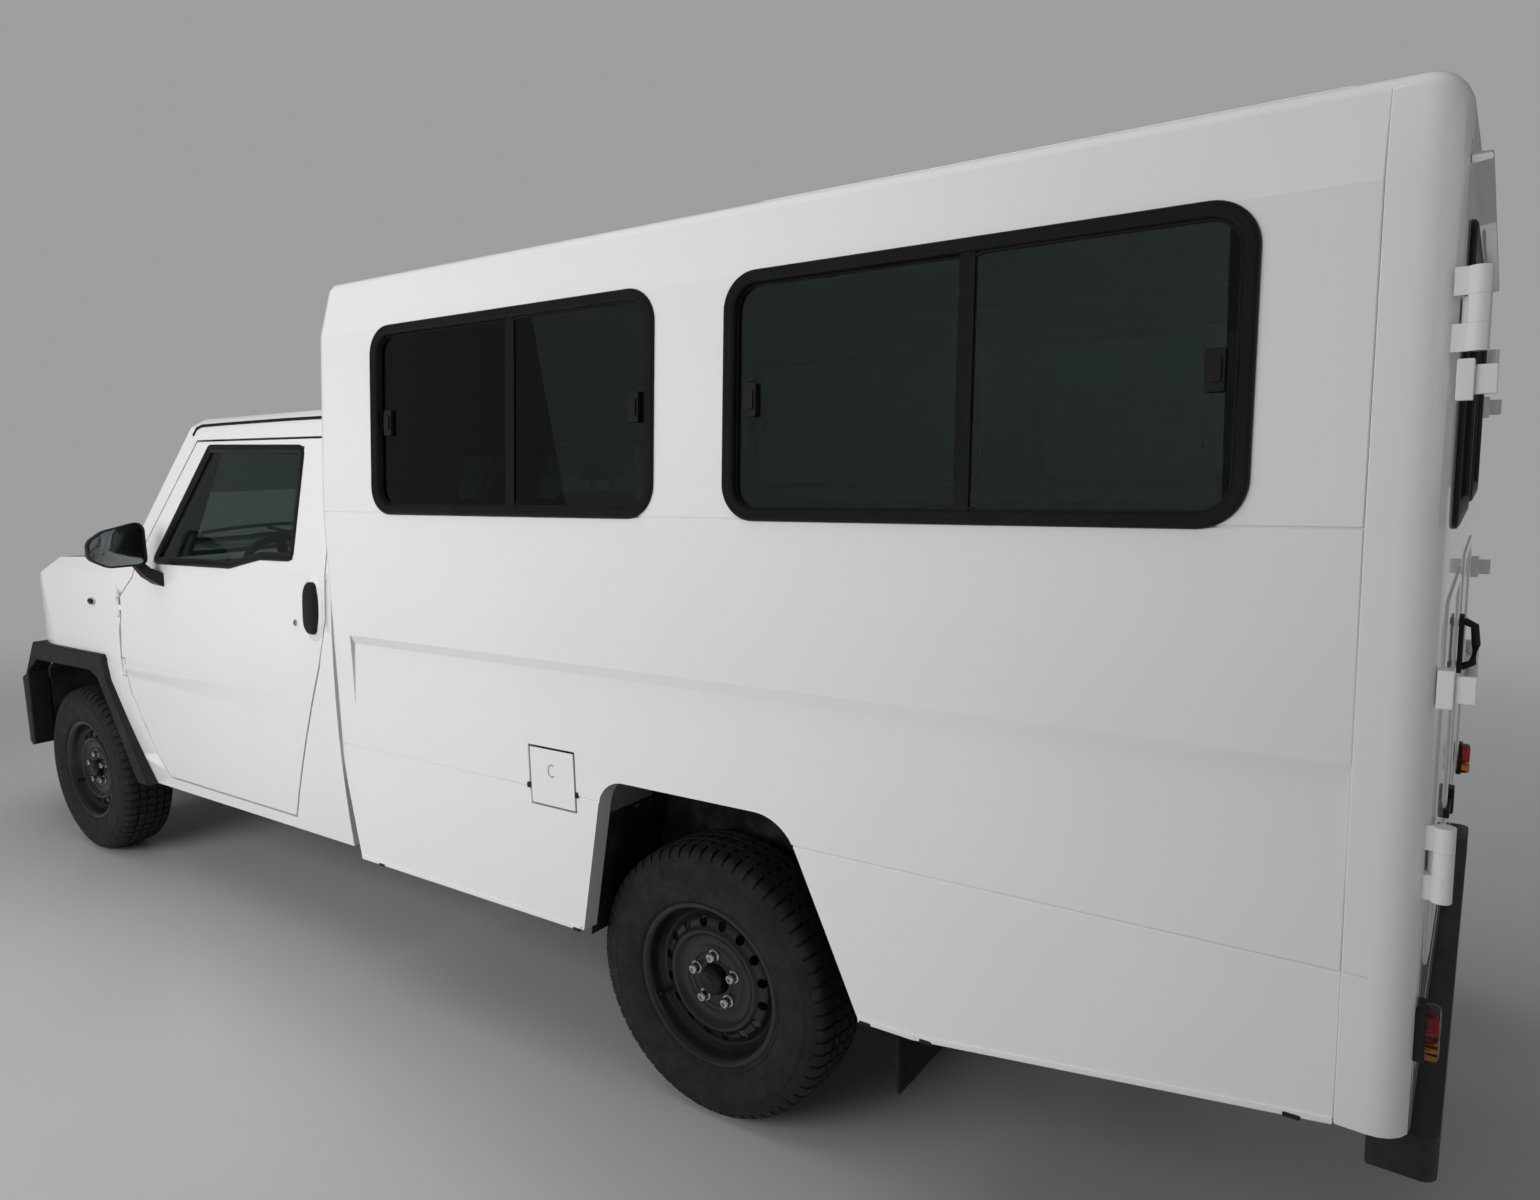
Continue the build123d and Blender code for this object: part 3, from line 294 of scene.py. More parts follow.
# mesh tools
def mirroredX(mesh):
    mesh.transform(Matrix.Scale(-1, 4, (1, 0, 0)))
    mesh.flip_normals()


def bake(obj):
    # turns the modifiers into plain mesh
    bpy.context.view_layer.update()
    graph = bpy.context.evaluated_depsgraph_get()
    fixed = bpy.data.meshes.new_from_object(obj.evaluated_get(graph))
    old = obj.data
    obj.modifiers.clear()
    obj.data = fixed
    if old.users == 0:
        bpy.data.meshes.remove(old)


def smooth(obj, angle=35.0, even=False):
    # even keeps broad flat faces flat between rolled edges
    obj.data.polygons.foreach_set("use_smooth", [True] * len(obj.data.polygons))
    obj.data.set_sharp_from_angle(angle=math.radians(angle))
    if even:
        mod = obj.modifiers.new("even", "WEIGHTED_NORMAL")
        mod.weight = 50
        mod.keep_sharp = True
        bake(obj)


def soften(obj, width, segments=2, angle=30.0):
    mod = obj.modifiers.new("edge", "BEVEL")
    mod.width = width
    mod.segments = segments
    mod.limit_method = "ANGLE"
    mod.angle_limit = math.radians(angle)
    mod.harden_normals = False
    mod.use_clamp_overlap = True


def piece(name, verts, faces, finish, body, slot, edge=0.0, segments=2, sub=0, flip=False, level=False,
          angle=35.0, replaces=(), edgeAngle=30.0):
    # verts are body millimetres, or row metres when level is set
    mesh = bpy.data.meshes.new(name)
    mesh.from_pydata([tuple(v) for v in verts], [], faces)
    if not level:
        mesh.transform(tip)
    if flip:
        mesh.transform(Matrix.Scale(-1, 4, (1, 0, 0)))
        mesh.flip_normals()
    work = bmesh.new()
    work.from_mesh(mesh)
    bmesh.ops.remove_doubles(work, verts=work.verts, dist=1e-6)
    bmesh.ops.recalc_face_normals(work, faces=work.faces)
    work.to_mesh(mesh)
    work.free()
    obj = bpy.data.objects.new(name, mesh)
    scene.collection.objects.link(obj)
    mesh.materials.append(finishes[finish])
    if edge:
        soften(obj, edge * 0.001, segments, edgeAngle)
    if sub:
        mod = obj.modifiers.new("round", "SUBSURF")
        mod.levels = sub
        mod.render_levels = sub
    if edge or sub:
        bake(obj)
    smooth(obj, angle, even=bool(edge))
    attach(obj, body)
    if replaces:
        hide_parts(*replaces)
    return obj


def roundPath(points, radii, steps=7):
    # a closed outline with its corners turned into arcs
    out = []
    count = len(points)
    for i in range(count):
        p = Vector(points[i])
        a = (Vector(points[i - 1]) - p)
        b = (Vector(points[(i + 1) % count]) - p)
        radius = radii[i] if isinstance(radii, (list, tuple)) else radii
        if radius <= 0:
            out.append(tuple(p))
            continue
        half = a.angle(b) / 2
        reach = min(radius / math.tan(half), a.length * 0.49, b.length * 0.49)
        radius = reach * math.tan(half)
        start = p + a.normalized() * reach
        end = p + b.normalized() * reach
        centre = p + (a.normalized() + b.normalized()).normalized() * (radius / math.sin(half))
        u, v = start - centre, end - centre
        turn = u.angle(v) if u.length > 1e-9 else 0
        side = 1 if u.x * v.y - u.y * v.x > 0 else -1
        for k in range(steps + 1):
            t = side * turn * k / steps
            out.append((centre.x + u.x * math.cos(t) - u.y * math.sin(t),
                        centre.y + u.x * math.sin(t) + u.y * math.cos(t)))
    return out


def boxPath(u0, u1, v0, v1, radius, steps=7):
    return roundPath([(u0, v0), (u1, v0), (u1, v1), (u0, v1)], radius, steps)


def sideAt(x):
    # an upright plane at x: (y, z, out) to body millimetres
    return lambda y, z, out: (x + out, y, z)


leanAngle = math.atan2(885.0 - 850.0, 1895.0 - 1416.0)


def leanPlane(y, z, out):
    # the leaning upper wall of the box
    dz = z - 1416.0
    return (885.0 + out * math.cos(leanAngle) - dz * math.sin(leanAngle), y,
            1416.0 + out * math.sin(leanAngle) + dz * math.cos(leanAngle))


def loopMesh(path, section, plane, closed=True):
    # sweeps a closed section (across, out) round a path that lies in a plane
    verts, faces = [], []
    count, ring = len(path), len(section)
    for i in range(count):
        p = Vector(path[i])
        before = Vector(path[i - 1]) if closed or i else None
        after = Vector(path[(i + 1) % count]) if closed or i < count - 1 else None
        d1 = (p - before).normalized() if before is not None else (after - p).normalized()
        d2 = (after - p).normalized() if after is not None else d1
        d = (d1 + d2).normalized()
        n = Vector((d.y, -d.x))
        stretch = 1.0 / max(0.35, math.sqrt(max(0.0, (1 + d1.dot(d2)) / 2)))
        for across, out in section:
            q = p + n * across * stretch
            verts.append(plane(q.x, q.y, out))
    spans = count if closed else count - 1
    for i in range(spans):
        j = (i + 1) % count
        for k in range(ring):
            m = (k + 1) % ring
            faces.append((i * ring + k, i * ring + m, j * ring + m, j * ring + k))
    if not closed:
        faces.append(tuple(range(ring)))
        faces.append(tuple(range((count - 1) * ring, count * ring)))
    return verts, faces


def plateMesh(path, plane, low, high):
    count = len(path)
    verts = [plane(u, v, low) for u, v in path] + [plane(u, v, high) for u, v in path]
    faces = [tuple(range(count)), tuple(range(2 * count - 1, count - 1, -1))]
    faces += [(i, (i + 1) % count, count + (i + 1) % count, count + i) for i in range(count)]
    return verts, faces


def frameMesh(outer, inner, plane, low, high):
    # a flat ring between two outlines of the same number of points
    count = len(outer)
    verts = []
    for path, level in ((outer, low), (inner, low), (inner, high), (outer, high)):
        verts += [plane(u, v, level) for u, v in path]
    faces = []
    for i in range(count):
        j = (i + 1) % count
        for a in range(4):
            b = (a + 1) % 4
            faces.append((a * count + i, a * count + j, b * count + j, b * count + i))
    return verts, faces


def latheMesh(profile, steps, centre, sign=1, closed=True):
    # profile (outward, radius) turned about a line along x through centre
    verts, faces = [], []
    ring = len(profile)
    for i in range(steps):
        a = 2 * math.pi * i / steps
        for out, radius in profile:
            verts.append((centre[0] + sign * out, centre[1] + radius * math.cos(a), centre[2] + radius * math.sin(a)))
    last = ring if closed else ring - 1
    for i in range(steps):
        j = (i + 1) % steps
        for k in range(last):
            m = (k + 1) % ring
            faces.append((i * ring + k, i * ring + m, j * ring + m, j * ring + k))
    return verts, faces


def tubeMesh(points, radius, sides=12, ends=True):
    verts, faces = [], []
    pts = [Vector(p) for p in points]
    up = Vector((0.13, 0.21, 0.97)).normalized()
    for i, p in enumerate(pts):
        a = pts[max(i - 1, 0)]
        b = pts[min(i + 1, len(pts) - 1)]
        d = (b - a).normalized()
        s = d.cross(up).normalized()
        t = s.cross(d)
        for k in range(sides):
            w = 2 * math.pi * k / sides
            verts.append(p + s * radius * math.cos(w) + t * radius * math.sin(w))
    for i in range(len(pts) - 1):
        for k in range(sides):
            m = (k + 1) % sides
            faces.append((i * sides + k, i * sides + m, (i + 1) * sides + m, (i + 1) * sides + k))
    if ends:
        faces.append(tuple(range(sides)))
        faces.append(tuple(range((len(pts) - 1) * sides, len(pts) * sides)))
    return verts, faces


def cuboidMesh(x0, x1, y0, y1, z0, z1):
    verts = [(x, y, z) for x in (x0, x1) for y in (y0, y1) for z in (z0, z1)]
    faces = [(0, 1, 3, 2), (4, 6, 7, 5), (0, 4, 5, 1), (2, 3, 7, 6), (0, 2, 6, 4), (1, 5, 7, 3)]
    return verts, faces


def loftMesh(rings):
    # a closed body through rings of the same number of points
    count, last = len(rings[0]), (len(rings) - 1) * len(rings[0])
    faces = [(r + k, r + (k + 1) % count, r + (k + 1) % count + count, r + k + count)
             for r in range(0, last, count) for k in range(count)]
    return [p for ring in rings for p in ring], faces + [tuple(range(count)), tuple(range(last, last + count))]


def joined(*parts):
    verts, faces = [], []
    for v, f in parts:
        base = len(verts)
        verts += list(v)
        faces += [tuple(i + base for i in face) for face in f]
    return verts, faces


def carve(obj, cutters, level=False):
    # takes the cutter shapes out of a skin, exactly
    verts, faces = joined(*cutters)
    mesh = bpy.data.meshes.new("cutter")
    mesh.from_pydata([tuple(v) for v in verts], [], faces)
    if not level:
        mesh.transform(tip)
    work = bmesh.new()
    work.from_mesh(mesh)
    bmesh.ops.recalc_face_normals(work, faces=work.faces)
    work.to_mesh(mesh)
    work.free()
    tool = bpy.data.objects.new("cutter", mesh)
    scene.collection.objects.link(tool)
    mod = obj.modifiers.new("cut", "BOOLEAN")
    mod.operation = "DIFFERENCE"
    mod.solver = "EXACT"
    mod.object = tool
    bake(obj)
    bpy.data.objects.remove(tool)


# body panels: the frame's own shapes with rolled edges
dressing = {
    # node: (edge radius mm, segments, shortest edge mm that is rolled)
    "box_side_left": (2.5, 2, 60), "box_side_right": (2.5, 2, 60), "box_roof": (2.5, 2, 60),
    "box_front_wall": (4.0, 2, 60), "box_rear_frame": (2.5, 2, 60), "cab_shell": (3.0, 2, 60),
    "nose_wings": (4.0, 3, 60), "bonnet": (4.0, 3, 60), "cab_door_left": (2.6, 2, 50), "cab_door_right": (2.6, 2, 50),
    "rear_door_left": (3.0, 2, 90), "rear_door_right": (3.0, 2, 90), "front_bumper": (9.0, 3, 60),
    "wing_flares": (5.0, 3, 40), "rear_bumper": (4.0, 2, 40), "load_floor": (3.0, 2, 60), "bench_bases": (3.0, 2, 15),
    "mud_flaps": (2.0, 2, 5), "frame_rails": (6.0, 3, 20), "cross_members": (4.0, 2, 20), "powertrain": (16.0, 3, 60),
    "fuel_tank": (22.0, 4, 60), "front_arms": (3.0, 2, 30), "knuckle_left": (3.0, 2, 30),
    "knuckle_right": (3.0, 2, 30), "rear_springs": (2.0, 2, 15), "fuel_flap": (1.2, 2, 60),
}


def dress(name, width, segments, shortest, turnDeg=28.0):
    source = nodes[name]
    mesh = source.data.copy()
    work = bmesh.new()
    work.from_mesh(mesh)
    bmesh.ops.remove_doubles(work, verts=work.verts, dist=2e-5)
    bmesh.ops.dissolve_limit(work, angle_limit=math.radians(0.12), verts=work.verts, edges=work.edges)
    weight = work.edges.layers.float.new("bevel_weight_edge")
    for edge in work.edges:
        if len(edge.link_faces) == 2 and edge.calc_length() > shortest * 0.001:
            if edge.calc_face_angle() > math.radians(turnDeg):
                edge[weight] = 1.0
    work.to_mesh(mesh)
    work.free()
    obj = bpy.data.objects.new(name.replace("_", " ").title().replace(" ", "") + "Skin", mesh)
    scene.collection.objects.link(obj)
    mod = obj.modifiers.new("edge", "BEVEL")
    mod.width = width * 0.001
    mod.segments = segments
    mod.limit_method = "WEIGHT"
    mod.use_clamp_overlap = False
    bake(obj)
    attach(obj, source["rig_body"])
    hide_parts(name)
    return obj


skins = {}
for name, look in dressing.items():
    skins[name] = dress(name, *look)
print("panels dressed:", len(dressing))

# tyres
tyreLook = {"pitches": 62, "grooveDeep": 7.5, "skew": 0.011, "zigzag": 2.2}
sidewall = [
    # across from the middle, radius: bead, rim guard, bulge, decorative step, shoulder
    (72, 180), (76, 188), (82, 197), (88, 201), (90, 206), (88.5, 209), (90.5, 216), (92.5, 226), (94.2, 238),
    (95.0, 250), (95.0, 262), (94.4, 272), (94.9, 273), (94.7, 276), (93.8, 277), (92.2, 286), (90.2, 294),
    (90.8, 295), (90.2, 298), (89.0, 299), (87.0, 304.5),
]
treadLines = [
    # across, radius, kind: r rib, g groove floor, s shoulder block, e shoulder edge
    (86.0, 306.5, "e"), (84.0, 311, "s"), (79.0, 318, "s"), (72.0, 322.3, "s"), (60.0, 325.2, "s"), (49.2, 326.5, "s"),
    (48.6, 326.5, "r"), (48.0, 326.5, "g"), (43.0, 326.8, "g"), (42.4, 326.9, "r"), (36.0, 327.3, "m"),
    (26.0, 327.6, "m"), (20.6, 327.8, "r"), (20.0, 327.8, "g"), (14.8, 327.9, "g"), (14.2, 327.9, "r"),
    (8.0, 328, "m"), (0.0, 328, "m"),
]


def tyreMesh():
    look = tyreLook
    rows = [(a, r, "w") for a, r in sidewall] + treadLines
    rows = rows + [(-a, r, kind) for a, r, kind in reversed(rows[:-1])]
    rows += [(-45, 177, "w"), (45, 177, "w")]
    cuts = (0.0, 0.385, 0.405, 0.595, 0.615)
    inside = (False, False, True, True, False)
    verts, faces = [], []
    stations = look["pitches"] * len(cuts)
    for p in range(look["pitches"]):
        for cut, deep in zip(cuts, inside):
            for across, radius, kind in rows:
                side = 1 if across >= 0 else -1
                a = 2 * math.pi * (p + cut + (0.5 if side < 0 and kind == "x" else 0)) / look["pitches"]
                wave = look["zigzag"] * (4 * abs(((p + cut) % 1.0) - 0.5) - 1)
                if kind in "rg":
                    across = across + wave * (1 if abs(across) < 30 else -0.6)
                a += look["skew"] * math.sin(across / 30.0) if kind != "w" else look["skew"] * math.sin(side * 2.8)
                r = radius
                if kind == "g":
                    r -= look["grooveDeep"]
                elif kind == "s" and deep:
                    r -= look["grooveDeep"] * 0.8
                elif kind == "m" and deep:
                    r -= 4.0
                elif kind == "e" and deep:
                    r -= 2.5
                verts.append((across, r * math.cos(a), r * math.sin(a)))
    ring = len(rows)
    for i in range(stations):
        j = (i + 1) % stations
        for k in range(ring):
            m = (k + 1) % ring
            faces.append((i * ring + k, i * ring + m, j * ring + m, j * ring + k))
    return verts, faces


treadVerts, treadFaces = tyreMesh()
wheelSpots = []
for place, track, y, z in (("front", stance["frontTrack"], frontY, frontZ), ("rear", stance["rearTrack"], rearY, rollR)):
    for side, sign in (("left", 1), ("right", -1)):
        wheelSpots.append((place, side, sign, (sign * track / 2, y, z)))
for place, side, sign, hub in wheelSpots:
    verts = [(hub[0] + sign * x, hub[1] + y, hub[2] + z) for x, y, z in treadVerts]
    piece("tyre" + place.title() + side.title(), verts, treadFaces, "tyreRubber", "wheel_" + place + "_" + side, "tyre",
          angle=40.0, replaces=["tyre_" + place + "_" + side])
print("tyres made")

# wheel hardware: nuts, cap, valve
hubLook = {"nutCircle": 57.15, "nuts": 5, "nutAcross": 11.5, "nutLong": 21.0, "faceOut": 46.0, "turnDeg": 20.0}


def nutMesh(centre, sign):
    verts, faces = [], []
    rings = [(0.0, 1.28), (3.0, 1.28), (4.0, 1.02), (17.0, 1.0), (19.5, 0.86), (21.0, 0.55), (21.0, 0.42), (15.0, 0.40)]
    for out, scale in rings:
        for k in range(18):
            a = 2 * math.pi * k / 18
            r = hubLook["nutAcross"] * scale
            if 1 < scale < 1.1 or scale == 1.0:
                r = r / math.cos(((a + math.pi / 6) % (math.pi / 3)) - math.pi / 6) * 0.96
            verts.append((centre[0] + sign * out, centre[1] + r * math.cos(a), centre[2] + r * math.sin(a)))
    for i in range(len(rings) - 1):
        for k in range(18):
            m = (k + 1) % 18
            faces.append((i * 18 + k, i * 18 + m, (i + 1) * 18 + m, (i + 1) * 18 + k))
    faces.append(tuple(range((len(rings) - 1) * 18, len(rings) * 18)))
    faces.append(tuple(range(17, -1, -1)))
    return verts, faces


# steel rims: turned section, then sixteen round vents cut through the disc
rimLook = {"vents": 16, "ventRing": 139.0, "ventRadius": 11.5, "steps": 96}
rimProfile = [
    # outward, radius: bead seat under the tyre, flange, well, disc with its raised ring, hub face, then the back
    (-72, 180), (-45, 177), (-20, 165), (20, 165), (45, 177), (72, 180), (72, 196), (75, 197.5), (79.5, 197.5),
    (82.5, 195.5), (83.5, 192), (82.5, 187), (79, 182.5), (72, 179), (62, 176), (52, 173.5), (47, 170.5), (41, 166),
    (36.5, 163), (35, 159), (37, 155), (43, 151.5), (47.5, 147), (50, 141), (51, 135), (52.5, 130), (55, 126.5),
    (58.5, 124), (60.5, 120), (60, 115.5), (57, 112), (52, 108), (48, 102), (46.2, 94), (46, 86), (47.2, 81),
    (48.8, 78), (49.2, 74), (48.8, 66), (46.6, 64), (46.6, 49), (48.8, 47), (49.4, 42), (48.6, 38), (46, 34.5), (38, 33),
    (38, 76), (42, 86), (42, 100), (46, 107), (52, 111), (55.5, 115.5), (56, 120), (54, 123.5), (51, 126), (48, 132),
    (46, 139), (43, 144), (38, 148), (32, 152), (27, 156), (-20, 157), (-45, 169), (-72, 172), (-80, 178), (-83, 186),
    (-82.5, 194), (-79, 197.5), (-73, 197.5), (-72, 196),
]


def ventMesh(angle, sides=20):
    cy, cz = rimLook["ventRing"] * math.cos(angle), rimLook["ventRing"] * math.sin(angle)
    rings = [[(x, cy + rimLook["ventRadius"] * math.cos(2 * math.pi * k / sides),
               cz + rimLook["ventRadius"] * math.sin(2 * math.pi * k / sides)) for k in range(sides)] for x in (26, 64)]
    faces = [(k, (k + 1) % sides, (k + 1) % sides + sides, k + sides) for k in range(sides)]
    return rings[0] + rings[1], faces + [tuple(range(sides)), tuple(range(2 * sides - 1, sides - 1, -1))]


def rimMesh():
    # the vents are cut once, in the wheel's own space
    blank = bpy.data.objects.new("rimBlank", bpy.data.meshes.new("rimBlank"))
    verts, faces = latheMesh(rimProfile, rimLook["steps"], (0, 0, 0))
    blank.data.from_pydata(verts, [], faces)
    scene.collection.objects.link(blank)
    carve(blank, [ventMesh(2 * math.pi * (k + 0.5) / rimLook["vents"]) for k in range(rimLook["vents"])], level=True)
    found = [tuple(v.co) for v in blank.data.vertices], [tuple(p.vertices) for p in blank.data.polygons]
    bpy.data.objects.remove(blank)
    return found


rimVerts, rimFaces = rimMesh()
capProfile = [(38, 33), (52, 33), (60, 32.5), (66, 31), (70, 27), (72, 21), (72.4, 15), (73.4, 14), (74.2, 9), (74.5, 0.2)]
for place, side, sign, hub in wheelSpots:
    body = "wheel_" + place + "_" + side
    tag = place.title() + side.title()
    verts = [(hub[0] + sign * x, hub[1] + y, hub[2] + z) for x, y, z in rimVerts]
    piece("rim" + tag, verts, rimFaces, "wheelBlack", body, "wheel_black", angle=38.0,
          replaces=["rim_" + place + "_" + side])
    nuts = []
    for k in range(hubLook["nuts"]):
        a = math.radians(hubLook["turnDeg"] + 72 * k)
        nuts.append(nutMesh((hub[0] + sign * hubLook["faceOut"], hub[1] + hubLook["nutCircle"] * math.cos(a),
                             hub[2] + hubLook["nutCircle"] * math.sin(a)), sign))
    piece("nuts" + tag, *joined(*nuts), "zinc", body, "exhaust_steel", angle=28.0)
    piece("cap" + tag, *latheMesh(capProfile, 40, hub, sign, closed=False), "glossBlack", body, "black_plastic", angle=50.0)
    a = math.radians(205)
    stem = [(hub[0] + sign * out, hub[1] + r * math.cos(a), hub[2] + r * math.sin(a))
            for out, r in ((36, 160), (46, 164), (60, 166), (72, 166.5))]
    piece("valve" + tag, *tubeMesh(stem, 4.2), "mudRubber", body, "mud_rubber")

# the spare lies flat under the rear floor, its outer face up, on a hook
spareLook = {"spot": (0.0, 2005.0, 330.0), "hookLow": 374.0, "hookHigh": 500.0, "hookRadius": 10.0}
sx, sy, sz = spareLook["spot"]
piece("spareTyre", [(sx - z, sy + y, sz + x) for x, y, z in treadVerts], treadFaces, "tyreRubber", "chassis", "tyre",
      angle=40.0, replaces=["spare_wheel"])
piece("spareRim", [(sx - z, sy + y, sz + x) for x, y, z in rimVerts], rimFaces, "wheelBlack", "chassis", "wheel_black",
      angle=38.0)
hook = tubeMesh([(sx, sy, spareLook["hookLow"]), (sx, sy, spareLook["hookHigh"])], spareLook["hookRadius"], 16)
plate = plateMesh(roundPath([(sx - 48, sy - 48), (sx + 48, sy - 48), (sx + 48, sy + 48), (sx - 48, sy + 48)], 20, 5),
                  lambda x, y, out: (x, y, sz + out), 42, 48)
piece("spareHook", *joined(hook, plate), "zinc", "chassis", "exhaust_steel", edge=1.5)
print("wheel hardware made")

# box windows: rubber, sliding sashes, latches
windowLook = {"spans": [(213.0, 1201.5, 751.0), (1386.5, 2375.0, 1909.0)], "low": 1411.0, "high": 1902.0,
              "corner": 75.0, "rubberWide": 25.0, "sashWide": 6.0, "dividerWide": 15.0, "latchTall": 66.0,
              "latchZ": 1651.0, "latchHalf": 15.0}
rubberSection = [(0.0, -6.0), (0.0, 3.0), (-2.0, 6.6), (-6.0, 8.6), (-11.0, 8.4), (-14.0, 6.4), (-15.5, 6.8),
                 (-19.0, 6.4), (-23.0, 3.8), (-25.0, 0.5), (-25.0, -20.0), (-19.0, -20.0), (-19.0, -6.0)]


def sashMesh(y0, y1, z0, z1, radius, wide, low, high):
    outer = boxPath(y0, y1, z0, z1, radius, 6)
    inner = boxPath(y0 + wide, y1 - wide, z0 + wide, z1 - wide, max(radius - wide, 4.0), 6)
    return frameMesh(outer, inner, leanPlane, low, high)


for side, flip in (("Left", False), ("Right", True)):
    rubbers, sashes, panes, latches = [], [], [], []
    for y0, y1, mid in windowLook["spans"]:
        z0, z1, corner = windowLook["low"], windowLook["high"], windowLook["corner"]
        rubbers.append(loopMesh(boxPath(y0, y1, z0, z1, corner, 12), rubberSection, leanPlane))
        inset = windowLook["rubberWide"] - 2
        wide, bar = windowLook["sashWide"], windowLook["dividerWide"]
        a0, a1 = y0 + inset, y1 - inset
        b0, b1 = z0 + inset, z1 - inset
        # front pane inside, rear pane outside, overlapping at the divider
        sashes.append(sashMesh(a0, mid + bar, b0, b1, 50, wide, -17, -9))
        sashes.append(sashMesh(mid - bar, a1, b0, b1, 50, wide, -8, -1))
        sashes.append(plateMesh(boxPath(mid - bar, mid + bar, b0 + 1, b1 - 1, 3, 2), leanPlane, -8.5, 0.5))
        for p0, p1, level in ((a0, mid + bar, -13.0), (mid - bar, a1, -5.0)):
            panes.append(plateMesh(boxPath(p0 + wide - 2, p1 - wide + 2, b0 + wide - 2, b1 - wide + 2, 44, 7),
                                   leanPlane, level - 2, level + 2))
        tall, wide, latchZ = windowLook["latchTall"] / 2, windowLook["latchHalf"], windowLook["latchZ"]
        for centre, level in ((y0 + 62, -11.5), (y1 - 56, -3.5)):
            for half, high, low, top in ((wide, tall, 0, 9), (wide - 5, tall - 14, 8, 13)):
                latches.append(plateMesh(boxPath(centre - half, centre + half, latchZ - high, latchZ + high, 4.5, 3),
                                         leanPlane, level + low, level + top))
    piece("windowRubber" + side, *joined(*rubbers), "windowRubber", "chassis", "window_rubber", flip=flip, angle=50.0)
    piece("windowSash" + side, *joined(*sashes), "glossBlack", "chassis", "black_plastic", edge=1.2, flip=flip)
    piece("windowPanes" + side, *joined(*panes), "darkGlass", "chassis", "dark_glass", flip=flip)
    piece("windowLatches" + side, *joined(*latches), "blackPlastic", "chassis", "black_plastic", edge=1.5, flip=flip)
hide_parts("window_frames")
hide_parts("window_panes")
print("box windows made")

# the cab's side section and the planes that trim is laid on
boxRear, boxFront, seamY = 2625.0, -40.0, 2527.0
cabArc = {"foot": (836.0, 410.0), "bulge": (857.0, 830.0), "waist": (840.0, 1235.0), "edge": (744.0, 1684.0)}


def circleThrough(a, b, c):
    d = 2 * (a[0] * (b[1] - c[1]) + b[0] * (c[1] - a[1]) + c[0] * (a[1] - b[1]))
    sq = [p[0] ** 2 + p[1] ** 2 for p in (a, b, c)]
    x = (sq[0] * (b[1] - c[1]) + sq[1] * (c[1] - a[1]) + sq[2] * (a[1] - b[1])) / d
    y = (sq[0] * (c[0] - b[0]) + sq[1] * (a[0] - c[0]) + sq[2] * (b[0] - a[0])) / d
    return x, y, math.hypot(a[0] - x, a[1] - y)


arcX, arcZ, arcR = circleThrough(cabArc["foot"], cabArc["bulge"], cabArc["waist"])


def cabSide(z):
    (wx, wz), (ex, ez) = cabArc["waist"], cabArc["edge"]
    if z > wz:
        return wx + (z - wz) * (ex - wx) / (ez - wz)
    return arcX + math.sqrt(arcR ** 2 - (z - arcZ) ** 2)


def cabPlane(y, z, out):
    slope = (cabSide(z + 2) - cabSide(z - 2)) / 4
    size = math.hypot(1, slope)
    return (cabSide(z) + out / size, y, z - out * slope / size)


def screenPlane(u, v, out):
    # windscreen: u across, v up the slope
    run, rise = 400.0, 516.0
    size = math.hypot(run, rise)
    return (u, -1337 + (v * run - out * rise) / size, 1226 + (v * rise + out * run) / size)


def facing(yPlane, sign=1):
    # an upright plane across the van: (x, z, out)
    return lambda x, z, out: (x, yPlane + sign * out, z)


def bothSides(make):
    for side, flip in (("Left", False), ("Right", True)):
        make(side, side.lower(), flip)


# pressed seams along the box: a shallow vee in the side skins
seamLook = {"heights": (750.0, 1416.0), "wide": 5.0, "deep": 3.0}


def seamCutter(sign, z, y0, y1, x=885.0):
    w, d = seamLook["wide"] / 2, seamLook["deep"]
    ring = [(x + 3, z - w * 2), (x + 3, z + w * 2), (x - d, z + 0.6), (x - d, z - 0.6)]
    verts = [(sign * a, y, b) for y in (y0, y1) for a, b in ring]
    faces = [(0, 1, 2, 3), (7, 6, 5, 4)] + [(i, i + 4, (i + 1) % 4 + 4, (i + 1) % 4) for i in range(4)]
    return verts, faces


for side, sign in (("left", 1), ("right", -1)):
    carve(skins["box_side_" + side], [seamCutter(sign, z, boxFront + 31, seamY + 5) for z in seamLook["heights"]])
    carve(skins["box_rear_frame"], [seamCutter(sign, seamLook["heights"][0], seamY - 5, boxRear - 62)])

# the bumper's mouth and fog lamp recesses
noseRound = {"cx": 307.0, "cy": -1955.0, "radius": 550.0}
bumperRound = {"cx": 408.0, "cy": -2205.0, "radius": 470.0, "front": -2675.0}
mouthLook = {"halfX": 392.0, "low": 476.0, "high": 592.0, "deep": 42.0, "taper": 12.0, "round": 26.0}
fogLook = {"turnDeg": 36.0, "z": 534.0, "radius": 50.0, "deep": 34.0}


def cornerPlane(look, turnDeg):
    # touches a rounded front corner: (across, z, out) to body millimetres
    s, c = math.sin(math.radians(turnDeg)), math.cos(math.radians(turnDeg))
    return lambda u, v, out: (look["cx"] + (look["radius"] + out) * s + u * c,
                              look["cy"] - (look["radius"] + out) * c + u * s, v)


def mouthPath(grow):
    look = mouthLook
    return boxPath(-look["halfX"] - grow, look["halfX"] + grow, look["low"] - grow, look["high"] + grow, look["round"], 6)


